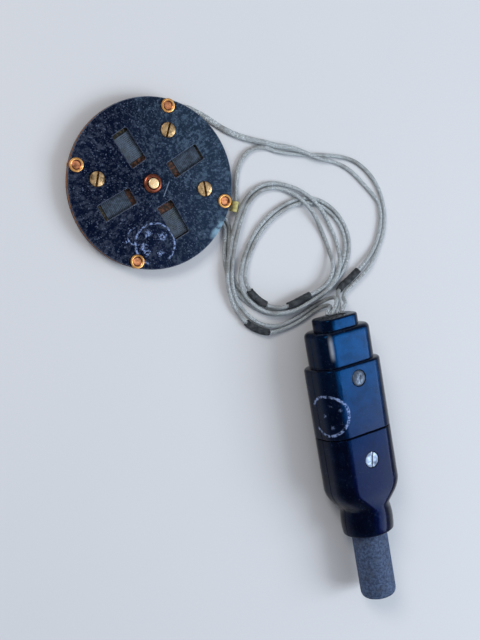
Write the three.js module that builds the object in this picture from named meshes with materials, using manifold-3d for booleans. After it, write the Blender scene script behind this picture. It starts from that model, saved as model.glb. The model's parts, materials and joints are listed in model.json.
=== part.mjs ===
// A wartime operator's key disc: a round laminated disc with four wire-wound elements, a press button,
// two twin leads and a two-part in-line connector. Millimetres, +Z up, origin under the disc's centre.
import * as THREE from "three";
import * as BufferGeometryUtils from "three/addons/utils/BufferGeometryUtils.js";
import Module from "manifold-3d";

const wasm = await Module();
wasm.setup();

// ---- driving dimensions: the disc ----
const discRadius = 34.93;
const standoff = 2.4; // room under the disc, kept by the three nuts
const backThickness = 1.0;
const rimThickness = 1.5;
const frontThickness = 1.1;
const layerGap = 0.1;
const fitGap = 0.3; // clearance between a piece and the hole or pocket it sits in
const backZ = standoff;
const rimZ = backZ + backThickness + layerGap;
const frontZ = rimZ + rimThickness + layerGap;
const faceZ = frontZ + frontThickness;

const rivetInset = 2.73; // from the disc's edge to the middle of a rivet
const rivetCircle = discRadius - rivetInset;
const rivetAngles = [78, -12, -102, 168];
const rivetBarrel = 1.9;
const rivetCup = 2.0; // the sunk middle of the head
const rivetCupDepth = 0.35;
const rivetHead = 2.9;
const rivetHeadHeight = 0.7;
const rimWidth = rivetBarrel + fitGap + 3.6;

const screwPlaces = [[6.7, 21.7], [-23.1, 1.3], [22.6, -1.8]];
const screwShank = 1.75;
const screwHead = 3.15;
const screwHeadHeight = 0.8;
const slotWidth = 0.9;
const slotDepth = 0.45;
const nutAcrossCorners = 7.2;

const windowLength = 15;
const windowWidth = 7;
const windowCircle = 17.1;
// each element: its angle on the disc, and how far its winding sits outward on its card
const elements = [
  { angle: 124.5, windingShift: 0.1 },
  { angle: 33.5, windingShift: 1.3 },
  { angle: -149.5, windingShift: 0.2 },
  { angle: -58.5, windingShift: 1.6 },
];
const cardLength = 16.4;
const cardWidth = 7.4;
const cardThickness = 0.4;
const windingLength = 11.6;
const windingThickness = 1.2;
const windingWall = 0.25;

const buttonRadius = 2.15;
const buttonTravel = 0.5;
const buttonRise = 0.75;
const bushFlange = 3.95;
const bushHeight = 1.2;
const bushWall = 0.6;
const collarHeight = 0.6;

const tagThickness = 0.45;
const tagWidth = 2.0;
const tagReach = 5.5;

// ---- driving dimensions: the leads ----
const strandDiameter = 1.7;
const strandSides = 8;
const strandStep = 5.0;
const sleeveDiameter = 3.3;
const sleeveBore = strandDiameter + 0.5;

// ---- driving dimensions: the connector ----
const entryPlace = [80.266, -55.706]; // where the leads go in, seen from above
const connectorHeading = 10.74;
const connectorRoll = 8;
const seamGap = 0.3;
const wall = 2.6;
const bodyHalfWidth = 16.5;
const bodyHalfThickness = 11;
const bodyCorner = 8;
const stepHalfWidth = 14.2;
const stepHalfThickness = 9.4;
const stepCorner = 7;
const entryHalfWidth = 9.9;
const entryHalfThickness = 7;
const entryCorner = 5.5;
const neckRadius = 11.4;
const socketLength = 51.7;
const entryLength = 5.0;
const stepLength = 15.6;
const plugLength = 46.2;
const plugStraight = 24.6;
const neckLength = 12.4;
const stubRadius = 8.0;
const stubShown = 31;
const stubHidden = 14;
const pinRadius = 1.2;
const pinPitch = 6;
const pinCount = 4;
const pinReach = 9;
const contactWall = 0.6;
const blockLength = 11;
const plugBlockLength = 7.5;
const shellScrewShank = 1.6;
const shellScrewHead = 3.4;
const socketScrewPlace = 24.7;
const plugScrewPlace = -12;
const shellNutCorners = 6.4;

// the leads and the connector are laid out beside a disc of this radius, and move out with a larger one
const laidRadius = 34.93;
const laidOut = discRadius - laidRadius;

const degrees = (angle) => (angle * Math.PI) / 180;

const bakelite = { color: 0x14161c, roughness: 0.28, metalness: 0 };
const laminate = { color: 0x1b202c, roughness: 0.5, metalness: 0 };
const fibre = { color: 0x7a3f22, roughness: 0.7, metalness: 0 };
const card = { color: 0x6d4a32, roughness: 0.8, metalness: 0 };
const winding = { color: 0x6b7076, roughness: 0.45, metalness: 0.6 };
const copper = { color: 0xb87850, roughness: 0.35, metalness: 1 };
const brass = { color: 0xc29a52, roughness: 0.35, metalness: 1 };
const steel = { color: 0xa9b4c4, roughness: 0.4, metalness: 1 };
const cotton = { color: 0xa9ad9f, roughness: 0.9, metalness: 0 };
const rubber = { color: 0x2e3238, roughness: 0.85, metalness: 0 };
const greyRubber = { color: 0x50555e, roughness: 0.9, metalness: 0 };
const thread = { color: 0xd9cf7c, roughness: 0.9, metalness: 0 };

const assembly = new THREE.Group();

function addMesh(parent, name, geometry, finish) {
  const mesh = new THREE.Mesh(geometry, new THREE.MeshStandardMaterial(finish));
  mesh.name = name;
  parent.add(mesh);
  return mesh;
}

// ---- solids and booleans ----
function toSolid(geometry) {
  const bare = geometry.clone();
  bare.deleteAttribute("normal");
  bare.deleteAttribute("uv");
  const merged = BufferGeometryUtils.mergeVertices(bare, 1e-4);
  const mesh = new wasm.Mesh({
    numProp: 3,
    vertProperties: new Float32Array(merged.attributes.position.array),
    triVerts: new Uint32Array(merged.index.array),
  });
  return new wasm.Manifold(mesh);
}

function toGeometry(solid) {
  const mesh = solid.getMesh();
  const geometry = new THREE.BufferGeometry();
  geometry.setAttribute("position", new THREE.BufferAttribute(new Float32Array(mesh.vertProperties), 3));
  geometry.setIndex(new THREE.BufferAttribute(new Uint32Array(mesh.triVerts), 1));
  geometry.computeVertexNormals();
  return geometry;
}

function cut(geometry, ...tools) {
  let solid = toSolid(geometry);
  for (const tool of tools) {
    solid = solid.subtract(toSolid(tool));
  }
  return toGeometry(solid);
}

// ---- plain shapes ----
const roundSides = 16; // sides of a small turned piece
const discSides = 64;

function slab(shape, bottom, height) {
  const geometry = new THREE.ExtrudeGeometry(shape, { depth: height, bevelEnabled: false });
  return geometry.translate(0, 0, bottom);
}

function onCircle(radius, angle) {
  return [radius * Math.cos(degrees(angle)), radius * Math.sin(degrees(angle))];
}

function roundPoints(radius, sides, x = 0, y = 0) {
  return Array.from({ length: sides }, (_, k) => {
    const [dx, dy] = onCircle(radius, (k * 360) / sides);
    return new THREE.Vector2(x + dx, y + dy);
  });
}

function circleShape(radius, sides) {
  return new THREE.Shape(roundPoints(radius, sides));
}

function circleHole(x, y, radius, sides = 14) {
  return new THREE.Path(roundPoints(radius, sides, x, y).reverse());
}

function rectangle(Kind, x, y, length, width, turn) {
  const corners = [[-1, -1], [1, -1], [1, 1], [-1, 1]];
  const points = corners.map(([i, j]) => {
    const point = new THREE.Vector2((i * length) / 2, (j * width) / 2);
    return point.rotateAround(new THREE.Vector2(0, 0), turn).add(new THREE.Vector2(x, y));
  });
  return new Kind(points);
}

// a body of revolution about Z from a list of [radius, height] points that closes on itself or on the axis
function turned(profile, segments = roundSides) {
  const points = profile.map(([radius, height]) => new THREE.Vector2(radius, height));
  return new THREE.LatheGeometry(points, segments).rotateX(Math.PI / 2);
}

function rod(radius, bottom, top, segments = roundSides) {
  return turned([[0, bottom], [radius, bottom], [radius, top], [0, top]], segments);
}

function hexPrism(corners, bore, bottom, height) {
  const shape = circleShape(corners / 2, 6);
  shape.holes.push(circleHole(0, 0, bore));
  return slab(shape, bottom, height);
}

// ---- the disc: three layers held by edge rivets and cover screws ----
const disc = new THREE.Group();
assembly.add(disc);
const rivetCentres = rivetAngles.map((angle) => onCircle(rivetCircle, angle));
const barrelHole = rivetBarrel + fitGap;
const shankHole = screwShank + fitGap;

function drillForFasteners(shape) {
  for (const [x, y] of rivetCentres) {
    shape.holes.push(circleHole(x, y, barrelHole));
  }
  for (const [x, y] of screwPlaces) {
    shape.holes.push(circleHole(x, y, shankHole));
  }
}

const bushTube = buttonRadius + fitGap + bushWall;

function frontPlate() {
  const shape = circleShape(discRadius, discSides);
  drillForFasteners(shape);
  shape.holes.push(circleHole(0, 0, bushTube + fitGap));
  for (const { angle } of elements) {
    const [x, y] = onCircle(windowCircle, angle);
    shape.holes.push(rectangle(THREE.Path, x, y, windowLength, windowWidth, degrees(angle)));
  }
  return slab(shape, frontZ, frontThickness);
}

const contactBarrel = 1.2;

function backPlate() {
  const shape = circleShape(discRadius, discSides);
  drillForFasteners(shape);
  shape.holes.push(circleHole(0, 0, contactBarrel + fitGap));
  return slab(shape, backZ, backThickness);
}

function rimRing() {
  const shape = circleShape(discRadius, discSides);
  shape.holes.push(circleHole(0, 0, discRadius - rimWidth, 40));
  for (const [x, y] of rivetCentres) {
    shape.holes.push(circleHole(x, y, barrelHole));
  }
  return slab(shape, rimZ, rimThickness);
}

addMesh(disc, "front_plate", frontPlate(), laminate);
addMesh(disc, "rim_ring", rimRing(), fibre);
addMesh(disc, "back_plate", backPlate(), laminate);

// ---- the wire-wound elements behind the windows ----
const cavityMiddle = rimZ + rimThickness / 2;

function cardBody() {
  const shape = rectangle(THREE.Shape, windowCircle, 0, cardLength, cardWidth, 0);
  return slab(shape, cavityMiddle - cardThickness / 2, cardThickness);
}

function windingBody(shift) {
  const holeWidth = cardWidth + 2 * fitGap;
  const holeThickness = windingThickness - 2 * windingWall;
  const shape = rectangle(THREE.Shape, 0, 0, holeWidth + 2 * windingWall, windingThickness, 0);
  shape.holes.push(rectangle(THREE.Path, 0, 0, holeWidth, holeThickness, 0));
  const geometry = slab(shape, windowCircle + shift - windingLength / 2, windingLength);
  geometry.rotateX(Math.PI / 2).rotateZ(Math.PI / 2);
  return geometry.translate(0, 0, cavityMiddle);
}

elements.forEach(({ angle, windingShift }, index) => {
  const cardMesh = addMesh(disc, `element_card_${index + 1}`, cardBody(), card);
  cardMesh.rotation.z = degrees(angle);
  const windingMesh = addMesh(disc, `element_winding_${index + 1}`, windingBody(windingShift), winding);
  windingMesh.rotation.z = degrees(angle);
});

// ---- edge rivets with their solder tags ----
const tagZ = backZ - layerGap - tagThickness;
const rivetTailTop = tagZ - layerGap;
const rivetTailHeight = 0.6;

function rivetBody() {
  const headBottom = faceZ + layerGap;
  const headTop = headBottom + rivetHeadHeight;
  const tail = rivetTailTop - rivetTailHeight;
  const tailRadius = rivetHead - 0.3;
  return turned([
    [0, tail],
    [tailRadius, tail],
    [tailRadius, rivetTailTop],
    [rivetBarrel, rivetTailTop],
    [rivetBarrel, headBottom],
    [rivetHead, headBottom],
    [rivetHead, headTop - 0.25],
    [rivetHead - 0.35, headTop],
    [rivetCup, headTop],
    [rivetCup - 0.4, headTop - rivetCupDepth],
    [0, headTop - rivetCupDepth],
  ]);
}

// the tag's eye goes round the rivet, and its tail leaves at `turn` from the outward direction
function tagBody(turn, reach) {
  const eye = slab(circleShape(rivetHead, roundSides), tagZ, tagThickness);
  const strip = slab(rectangle(THREE.Shape, reach / 2, 0, reach, tagWidth, 0), tagZ, tagThickness);
  const tail = toSolid(strip.rotateZ(degrees(turn)));
  const whole = toSolid(eye).add(tail);
  const hole = rod(barrelHole, tagZ - 1, tagZ + tagThickness + 1);
  return toGeometry(whole.subtract(toSolid(hole)));
}

const tagTails = [
  { turn: -90, reach: tagReach },
  { turn: 0, reach: rivetHead + 0.3 },
  { turn: 90, reach: tagReach },
  { turn: 90, reach: tagReach },
];

rivetAngles.forEach((angle, index) => {
  const place = new THREE.Group();
  const [x, y] = rivetCentres[index];
  place.position.set(x, y, 0);
  place.rotation.z = degrees(angle);
  disc.add(place);
  addMesh(place, `edge_rivet_${index + 1}`, rivetBody(), copper);
  const { turn, reach } = tagTails[index];
  addMesh(place, `solder_tag_${index + 1}`, tagBody(turn, reach), brass);
});

// ---- cover screws and the nuts that the disc stands on ----
const screwSlotTurns = [75, 80, 100];
const nutHeight = standoff - layerGap;

function coverScrew(slotTurn) {
  const headBottom = faceZ + layerGap;
  const headTop = headBottom + screwHeadHeight;
  const shankEnd = fitGap;
  const body = turned([
    [0, shankEnd],
    [screwShank, shankEnd],
    [screwShank, headBottom],
    [screwHead, headBottom],
    [screwHead, headTop - 0.3],
    [screwHead - 0.4, headTop],
    [0, headTop],
  ]);
  const slot = new THREE.BoxGeometry(2 * screwHead + 1, slotWidth, 2 * slotDepth);
  slot.rotateZ(degrees(slotTurn)).translate(0, 0, headTop);
  return cut(body, slot);
}

screwPlaces.forEach(([x, y], index) => {
  const screw = addMesh(disc, `cover_screw_${index + 1}`, coverScrew(screwSlotTurns[index]), brass);
  screw.position.set(x, y, 0);
  const nutBody = hexPrism(nutAcrossCorners, shankHole, 0, nutHeight);
  const nut = addMesh(disc, `screw_nut_${index + 1}`, nutBody, brass);
  nut.position.set(x, y, 0);
});

// ---- the press button in its bush, its spring and the contact it meets ----
const bushBore = buttonRadius + fitGap;
const bushBottom = frontZ + layerGap;
const bushTop = faceZ + layerGap + bushHeight;
const collarTop = bushBottom - layerGap;
const collarBottom = collarTop - collarHeight;
const contactTop = backZ + backThickness;
const stemBottom = contactTop + buttonTravel + 0.05;

addMesh(disc, "centre_bush", turned([
  [bushBore, bushBottom],
  [bushTube, bushBottom],
  [bushTube, faceZ + layerGap],
  [bushFlange, faceZ + layerGap],
  [bushFlange, bushTop - 0.7],
  [bushFlange - 0.5, bushTop - 0.2],
  [bushFlange - 1.1, bushTop],
  [bushBore, bushTop],
  [bushBore, bushBottom],
]), copper);

addMesh(disc, "press_button", turned([
  [0, stemBottom],
  [0.9, stemBottom],
  [0.9, collarBottom],
  [bushTube - 0.15, collarBottom],
  [bushTube - 0.15, collarTop],
  [buttonRadius, collarTop],
  [buttonRadius, bushTop + buttonRise - 0.35],
  [buttonRadius - 0.35, bushTop + buttonRise],
  [0, bushTop + buttonRise],
]), brass);

const springBase = contactTop + layerGap;
const springTop = collarBottom - layerGap;
const springSheet = 0.2;
addMesh(disc, "return_spring", turned([
  [bushTube + 1.1, springBase],
  [bushTube + 1.1, springBase + springSheet],
  [1.5, springTop],
  [1.5, springTop - springSheet],
  [bushTube + 1.1, springBase],
]), brass);

const contactHead = 2.4;
addMesh(disc, "fixed_contact", turned([
  [0, standoff - layerGap - 0.5],
  [contactHead, standoff - layerGap - 0.5],
  [contactHead, standoff - layerGap],
  [contactBarrel, standoff - layerGap],
  [contactBarrel, contactTop],
  [0, contactTop],
]), brass);

// ---- the connector: two moulded halves that pull apart at the seam, each of a front and a rear shell ----
// its group's origin is at the seam, and the leads' end of the socket is at its place whatever the lengths
const connector = new THREE.Group();
const [entryX, entryY] = entryPlace;
const seamX = entryX + laidOut + socketLength * Math.sin(degrees(connectorHeading));
const seamY = entryY - socketLength * Math.cos(degrees(connectorHeading));
connector.position.set(seamX, seamY, 0);
connector.rotation.z = degrees(connectorHeading);
assembly.add(connector);

// the flat-sided body rests on its shell nuts and on the long edge that the roll brings down
const rollCos = Math.cos(degrees(connectorRoll));
const rollSin = Math.sin(degrees(connectorRoll));
const flatHalf = bodyHalfWidth - bodyCorner;
const restHeight = flatHalf * rollSin + (bodyHalfThickness - bodyCorner) * rollCos + bodyCorner;
const nutProud = (restHeight - (shellNutCorners / 2) * rollSin) / rollCos - bodyHalfThickness;
const rolled = new THREE.Group();
rolled.position.z = restHeight + 0.02;
rolled.rotation.y = degrees(connectorRoll);
connector.add(rolled);

// one ring of points of a rounded rectangle at distance `y` along the connector
function sectionRing({ y, width, thickness, corner }, perCorner) {
  const points = [];
  const signs = [[1, 1], [-1, 1], [-1, -1], [1, -1]];
  signs.forEach(([i, j], quarter) => {
    for (let step = 0; step <= perCorner; step += 1) {
      const angle = (quarter + step / perCorner) * (Math.PI / 2);
      const x = i * (width - corner) + corner * Math.cos(angle);
      const z = j * (thickness - corner) + corner * Math.sin(angle);
      points.push([x, y, z]);
    }
  });
  return points;
}

// the rings run from low y to high y, so that the faces point out
function loft(sections, perCorner = 5) {
  const rings = sections.map((section) => sectionRing(section, perCorner));
  const count = rings[0].length;
  const positions = rings.flat(2);
  const index = [];
  for (let ring = 0; ring + 1 < rings.length; ring += 1) {
    for (let k = 0; k < count; k += 1) {
      const a = ring * count + k;
      const b = ring * count + ((k + 1) % count);
      index.push(a, a + count, b, b, a + count, b + count);
    }
  }
  const last = (rings.length - 1) * count;
  for (let k = 1; k + 1 < count; k += 1) {
    index.push(0, k, k + 1);
    index.push(last, last + k + 1, last + k);
  }
  const geometry = new THREE.BufferGeometry();
  geometry.setAttribute("position", new THREE.BufferAttribute(new Float32Array(positions), 3));
  geometry.setIndex(index);
  return geometry;
}

const section = (y, width, thickness, corner) => ({ y, width, thickness, corner });
const bodySection = (y, inset) =>
  section(y, bodyHalfWidth - inset, bodyHalfThickness - inset, bodyCorner - inset);
const stepSection = (y, inset) =>
  section(y, stepHalfWidth - inset, stepHalfThickness - inset, stepCorner - inset);
const entrySection = (y, inset) =>
  section(y, entryHalfWidth - inset, entryHalfThickness - inset, entryCorner - inset);
const roundSection = (y, radius) => section(y, radius, radius, radius - 0.01);

const seam = seamGap / 2;
const bodyEnd = socketLength - entryLength - stepLength;
const stepEnd = socketLength - entryLength;

const socketOutside = [
  bodySection(seam, 0.3),
  bodySection(seam + 0.3, 0),
  bodySection(bodyEnd - 0.9, 0),
  bodySection(bodyEnd - 0.2, 0.4),
  bodySection(bodyEnd, 1.0),
  stepSection(bodyEnd + 0.2, 0),
  stepSection(stepEnd - 3.2, 0),
  stepSection(stepEnd - 1.4, 0.6),
  stepSection(stepEnd - 0.4, 1.7),
  entrySection(stepEnd, 0),
  entrySection(socketLength - 0.8, 0),
  entrySection(socketLength, 0.8),
];

const plugOutside = [
  roundSection(-plugLength, neckRadius - 0.8),
  roundSection(-plugLength + 0.8, neckRadius),
  roundSection(-plugLength + neckLength * 0.4, neckRadius + 0.3),
  roundSection(-plugLength + neckLength * 0.8, neckRadius - 0.1),
  roundSection(-plugLength + neckLength, neckRadius - 0.5),
  section(-plugStraight - 6.5, bodyHalfWidth - 3.2, bodyHalfThickness - 0.2, bodyCorner + 1.4),
  section(-plugStraight - 3.4, bodyHalfWidth - 1.1, bodyHalfThickness, bodyCorner + 0.6),
  bodySection(-plugStraight, 0),
  bodySection(-seam - 0.3, 0),
  bodySection(-seam, 0.3),
];

const beyond = 1;
const glandHalfWidth = 5.6;
const glandHalfThickness = 3.0;
const glandCorner = 2.9;
const socketCavity = [
  bodySection(-beyond, wall),
  bodySection(bodyEnd - wall, wall),
  stepSection(bodyEnd - wall + 0.1, wall),
  stepSection(stepEnd - wall, wall),
];
const glandHole = [
  section(stepEnd - wall - beyond, glandHalfWidth, glandHalfThickness, glandCorner),
  section(socketLength + beyond, glandHalfWidth, glandHalfThickness, glandCorner),
];
const stubHole = [
  roundSection(-plugLength - beyond, stubRadius + fitGap),
  roundSection(-plugStraight - 5, stubRadius + fitGap),
];
const plugCavity = [
  section(-plugStraight - 5.5, stubRadius + fitGap, stubRadius + fitGap, stubRadius + fitGap - 0.01),
  bodySection(-plugStraight - 0.5, wall),
  bodySection(beyond, wall),
];

const shellReach = 2 * bodyHalfWidth + 10;
const shellNutHeight = 2.3;

function halfSpace(side) {
  // the box that removes the other shell and half of the parting gap
  const box = new THREE.BoxGeometry(shellReach, 3 * socketLength, shellReach);
  return box.translate(0, 0, side * (shellReach / 2 - seam));
}

function shell(outside, hollows, screwPlace, side) {
  const bodySolid = loft(outside);
  const bore = rod(shellScrewShank + fitGap, -shellReach, shellReach);
  const headPocket = rod(shellScrewHead + fitGap, bodyHalfThickness - 1.1, shellReach, 24);
  const nutPocket = rod(shellNutCorners / 2 + fitGap, -shellReach, -bodyHalfThickness + 1.7, 24);
  const pocket = side > 0 ? headPocket : nutPocket;
  const tools = [bore, pocket].map((tool) => tool.translate(0, screwPlace, 0));
  return cut(bodySolid, halfSpace(-side), ...hollows.map((hollow) => loft(hollow)), ...tools);
}

function shellScrew(domeHeight) {
  const headBottom = bodyHalfThickness - 1.0;
  const headTop = headBottom + 0.9;
  const body = turned([
    [0, -bodyHalfThickness - nutProud + 0.3],
    [shellScrewShank, -bodyHalfThickness - nutProud + 0.3],
    [shellScrewShank, headBottom],
    [shellScrewHead, headBottom],
    [shellScrewHead, headTop],
    [shellScrewHead * 0.75, headTop + domeHeight * 0.6],
    [shellScrewHead * 0.4, headTop + domeHeight],
    [0, headTop + domeHeight],
  ]);
  const slot = new THREE.BoxGeometry(slotWidth, 2 * shellScrewHead + 1, 2 * slotDepth);
  slot.rotateZ(degrees(-12)).translate(0, 0, headTop + domeHeight);
  return cut(body, slot);
}

function shellNut() {
  return hexPrism(shellNutCorners, shellScrewShank + fitGap, -bodyHalfThickness - nutProud, shellNutHeight);
}

function addShellPair(half, outside, hollows, screwPlace, domeHeight) {
  addMesh(rolled, `${half}_front_shell`, shell(outside, hollows, screwPlace, 1), bakelite);
  addMesh(rolled, `${half}_rear_shell`, shell(outside, hollows, screwPlace, -1), bakelite);
  addMesh(rolled, `${half}_screw`, shellScrew(domeHeight), steel).position.y = screwPlace;
  addMesh(rolled, `${half}_nut`, shellNut(), steel).position.y = screwPlace;
}

addShellPair("socket", socketOutside, [socketCavity, glandHole], socketScrewPlace, 0.7);
addShellPair("plug", plugOutside, [plugCavity, stubHole], plugScrewPlace, 0.15);

// the contact blocks fill the cavity on each side of the seam
function contactBlock(from, to, boreRadius) {
  const block = loft([bodySection(from, wall + fitGap), bodySection(to, wall + fitGap)]);
  const bores = pinPlaces.map((x) => alongY(boreRadius, from - beyond, to + beyond).translate(x, 0, 0));
  return cut(block, ...bores);
}

function alongY(radius, from, to) {
  return rod(radius, from, to, 16).rotateX(-Math.PI / 2);
}

const pinPlaces = Array.from({ length: pinCount }, (_, k) => (k - (pinCount - 1) / 2) * pinPitch);
const contactBore = pinRadius + fitGap;
const contactRadius = contactBore + contactWall;
const blockFace = 1.0;
const socketBlock = contactBlock(blockFace, blockFace + blockLength, contactRadius + fitGap);
const plugBlock = contactBlock(-blockFace - plugBlockLength, -blockFace, contactBore);
addMesh(rolled, "socket_block", socketBlock, fibre);
addMesh(rolled, "plug_block", plugBlock, fibre);

pinPlaces.forEach((x, index) => {
  const tube = alongY(contactRadius, blockFace + 0.2, blockFace + blockLength + 2);
  const socketContact = cut(tube, alongY(contactBore, -beyond, pinReach + 1));
  addMesh(rolled, `socket_contact_${index + 1}`, socketContact, brass).position.x = x;
  const pin = alongY(pinRadius, -blockFace - plugBlockLength - 0.5, pinReach);
  addMesh(rolled, `plug_pin_${index + 1}`, pin, brass).position.x = x;
});

const grommetProud = 0.15;
const grommetBack = stepEnd - wall + 1;
const grommetSection = (y) =>
  section(y, glandHalfWidth - fitGap, glandHalfThickness - fitGap, glandCorner - fitGap);
const grommetBody = loft([grommetSection(grommetBack), grommetSection(socketLength + grommetProud)]);
addMesh(rolled, "lead_grommet", grommetBody, rubber);

const stubEnd = -plugLength - stubShown;
addMesh(rolled, "cable_stub", loft([
  roundSection(stubEnd, stubRadius - 1.8),
  roundSection(stubEnd + 0.6, stubRadius - 0.7),
  roundSection(stubEnd + 2.2, stubRadius),
  roundSection(-plugLength + stubHidden, stubRadius),
]), greyRubber);

// ---- the leads ----
// A pair's route is [x, y, z, half spread, twist in degrees] for its middle line. The strands lie
// `half spread` to its left and right, and a twist turns them about each other.
const floorZ = strandDiameter / 2 + 0.06;
const besideZ = sleeveDiameter / 2 + 0.15;
const overZ = 2.9;
const topZ = 3.65;
const snug = 1.02;

const shortPair = [
  [53, 17.3, floorZ, snug, 0],
  [57.4, 16.2, floorZ, 1.2, 0],
  [62, 15.6, floorZ, 1.3, 10],
  [67.4, 14.9, floorZ, 1.1, 35],
  [72.9, 13.9, floorZ, snug, 90],
  [78.5, 13.1, floorZ, 1.0, 150],
  [84.4, 12.6, floorZ, 1.2, 180],
  [89.4, 11.7, floorZ, 1.7, 180],
  [94.6, 9.8, floorZ, 2.3, 180],
  [99.3, 6.6, floorZ, 2.6, 180],
  [103.4, 2.7, floorZ, 2.5, 180],
  [107, -1.7, floorZ, 1.9, 180],
  [109.5, -6.3, floorZ, 1.1, 180],
  [110.5, -11.2, floorZ, snug, 180],
  [110.5, -16, floorZ, snug, 180],
  [109.6, -20.8, floorZ, snug, 180],
  [108, -25.4, floorZ, snug, 180],
  [105.4, -30, 1.3, 1.2, 180],
  [101.8, -34.6, besideZ, 1.5, 180],
  [97.8, -38.6, besideZ, 1.5, 180],
  [93.8, -42.1, besideZ, 1.5, 180],
  [90.4, -45, besideZ, 1.6, 180],
];
const shortStarts = [
  [[10.8, 31.3, floorZ], [16.6, 31.9, floorZ], [22.4, 29.5, floorZ], [28, 26.3, floorZ],
    [33.8, 23.2, floorZ], [40.2, 20.8, floorZ], [46.8, 19.3, floorZ]],
  [[37.2, -10.9, 1.85], [38.2, -6.8, 1.85], [38.8, -3, 1.3], [39, 1.5, floorZ], [39.6, 6.4, floorZ],
    [41.3, 10.8, floorZ], [44.3, 14.3, floorZ], [48.4, 16.2, floorZ]],
];
const shortEnds = [
  [[87, -46.4, 3.2], [86, -48.3, 5.8], [84.8, -50.2, 8.6], [83.3, -52, 11.2], [81.8, -53.5, 12.3],
    [81.2, -54.7, 12.3]],
  [[89.6, -48.3, 3.4], [88.6, -49.6, 6.4], [87.2, -50.3, 9.8], [85.5, -51.2, 12.3], [84.1, -52.5, 13.2],
    [83.4, -54.3, 13]],
];

const longPair = [
  [28.5, -12.3, floorZ, snug, 0],
  [32.2, -13.8, floorZ, 1.15, 0],
  [34.6, -17.3, floorZ, snug, 0],
  [34.9, -22, floorZ, snug, 0],
  [34.6, -28, floorZ, snug, 0],
  [35.2, -34, floorZ, snug, 0],
  [36.8, -39.5, floorZ, snug, 0],
  [39.8, -44.2, floorZ, snug, 0],
  [43.9, -48.2, floorZ, snug, 0],
  [48.8, -51.5, floorZ, snug, 0],
  [54.3, -53.8, floorZ, snug, 0],
  [60.2, -54.3, floorZ, snug, 0],
  [66.2, -52.9, floorZ, snug, 0],
  [72.2, -50.2, floorZ, snug, 0],
  [78, -47.4, floorZ, snug, 0],
  [83.1, -43.8, floorZ, snug, 0],
  [87.3, -39.3, floorZ, snug, 0],
  [90.7, -34.3, floorZ, snug, 0],
  [92.3, -28.8, floorZ, snug, 0],
  [92.3, -23, floorZ, snug, 0],
  [90.7, -17.9, floorZ, snug, 0],
  [87.9, -13.6, floorZ, snug, 0],
  [84.2, -10, floorZ, snug, 0],
  [79.8, -7.3, floorZ, snug, 0],
  [74.8, -5.9, floorZ, snug, 0],
  [69.5, -6, floorZ, snug, 0],
  [64, -7.7, floorZ, snug, 0],
  [58.8, -10.5, floorZ, snug, 0],
  [54.3, -14, floorZ, snug, 0],
  [50.3, -18.2, floorZ, snug, 0],
  [46.9, -23.3, floorZ, snug, 0],
  [44.1, -29, 1.2, snug, 0],
  [42, -34.8, 2.1, snug, 0],
  [41.2, -40, 3.2, 1.15, 0],
  [42.9, -45.2, topZ, 1.45, 0],
  [47.2, -49.6, topZ, 1.45, 0],
  [53, -52.6, topZ, 1.4, 0],
  [59.4, -53.3, topZ, 1.2, 0],
  [65.6, -51.9, topZ, 1.45, 0],
  [71.6, -49.1, topZ, 1.45, 0],
  [77.4, -46.2, topZ, 1.2, 0],
  [82.2, -42.5, topZ, 1.2, 0],
  [85.2, -37.7, 3.5, 1.4, 0],
  [86.3, -32.5, 2.6, 1.9, 0],
  [85.7, -27.6, 1.3, 2.3, 0],
  [84.2, -22.8, floorZ, 2.4, 0],
  [81.7, -18, 1.1, 2.3, 0],
  [79, -13.6, 2.0, 2.2, 0],
  [75.8, -9.6, overZ, 2.0, 0],
  [72, -5.9, overZ, 1.8, 0],
  [67.6, -2.7, 2.3, 1.4, 0],
  [62.6, -0.6, 1.3, 1.05, 0],
  [57.2, 0.3, floorZ, snug, 0],
  [51.6, -0.5, floorZ, snug, 0],
  [46.9, -3.2, 1.0, snug, 0],
  [43.3, -7.2, 1.5, snug, 0],
  [40.7, -11.8, 2.3, snug, 0],
  [38.7, -16.8, overZ, snug, 0],
  [37.2, -22.2, overZ, snug, 0],
  [36.1, -28, overZ, snug, 0],
  [35.4, -34, overZ, snug, 0],
  [35.3, -40, 2.8, snug, 0],
  [36.6, -46, 2.4, snug, 0],
  [39.3, -51.6, 2.0, 1.3, 0],
  [43.4, -56.4, besideZ, 1.45, 0],
  [48.7, -59.9, besideZ, 1.45, 0],
  [54.4, -61.5, besideZ, 1.4, 0],
  [60, -61.1, floorZ, snug, 0],
  [65.5, -59.2, floorZ, snug, 0],
  [70.7, -56.6, floorZ, snug, 0],
  [75.4, -53.7, floorZ, snug, 0],
];
const longStarts = [
  [[-32, 1.8, floorZ], [-30.6, -4.6, floorZ], [-25.6, -9.8, floorZ], [-17.4, -12.8, floorZ],
    [-7, -14.2, floorZ], [4.5, -13.9, floorZ], [15, -12.3, floorZ], [23, -11.2, floorZ]],
  [[-1.9, -32.2, floorZ], [4, -30.2, floorZ], [9.4, -26, floorZ], [14.2, -20.6, floorZ],
    [19.6, -15.9, floorZ], [24.4, -13.8, floorZ]],
];
const longEnds = [
  [[79, -50.8, 1.0], [82, -49, 2.8], [83.5, -48.2, 6], [82.9, -49.1, 9.4], [81.2, -51.2, 11.9],
    [79.8, -53.4, 12.6], [79.1, -55, 12.4]],
  [[78.9, -53.1, 1.0], [81.2, -51.9, 2.8], [81.8, -52, 5.4], [80.6, -52.5, 8.2], [78.6, -53.1, 10.6],
    [77.2, -54.1, 12], [76.8, -55.4, 12.4]],
];

// the start of a way lies under or beside the disc and grows with it; what is past it only moves out
const farPoint = ([x, y, z]) => new THREE.Vector3(x + laidOut, y, z);
const startPoint = ([x, y, z]) => {
  if (x > laidRadius) return farPoint([x, y, z]);
  const share = discRadius / laidRadius;
  return new THREE.Vector3(x * share, y * share, z);
};

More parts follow.
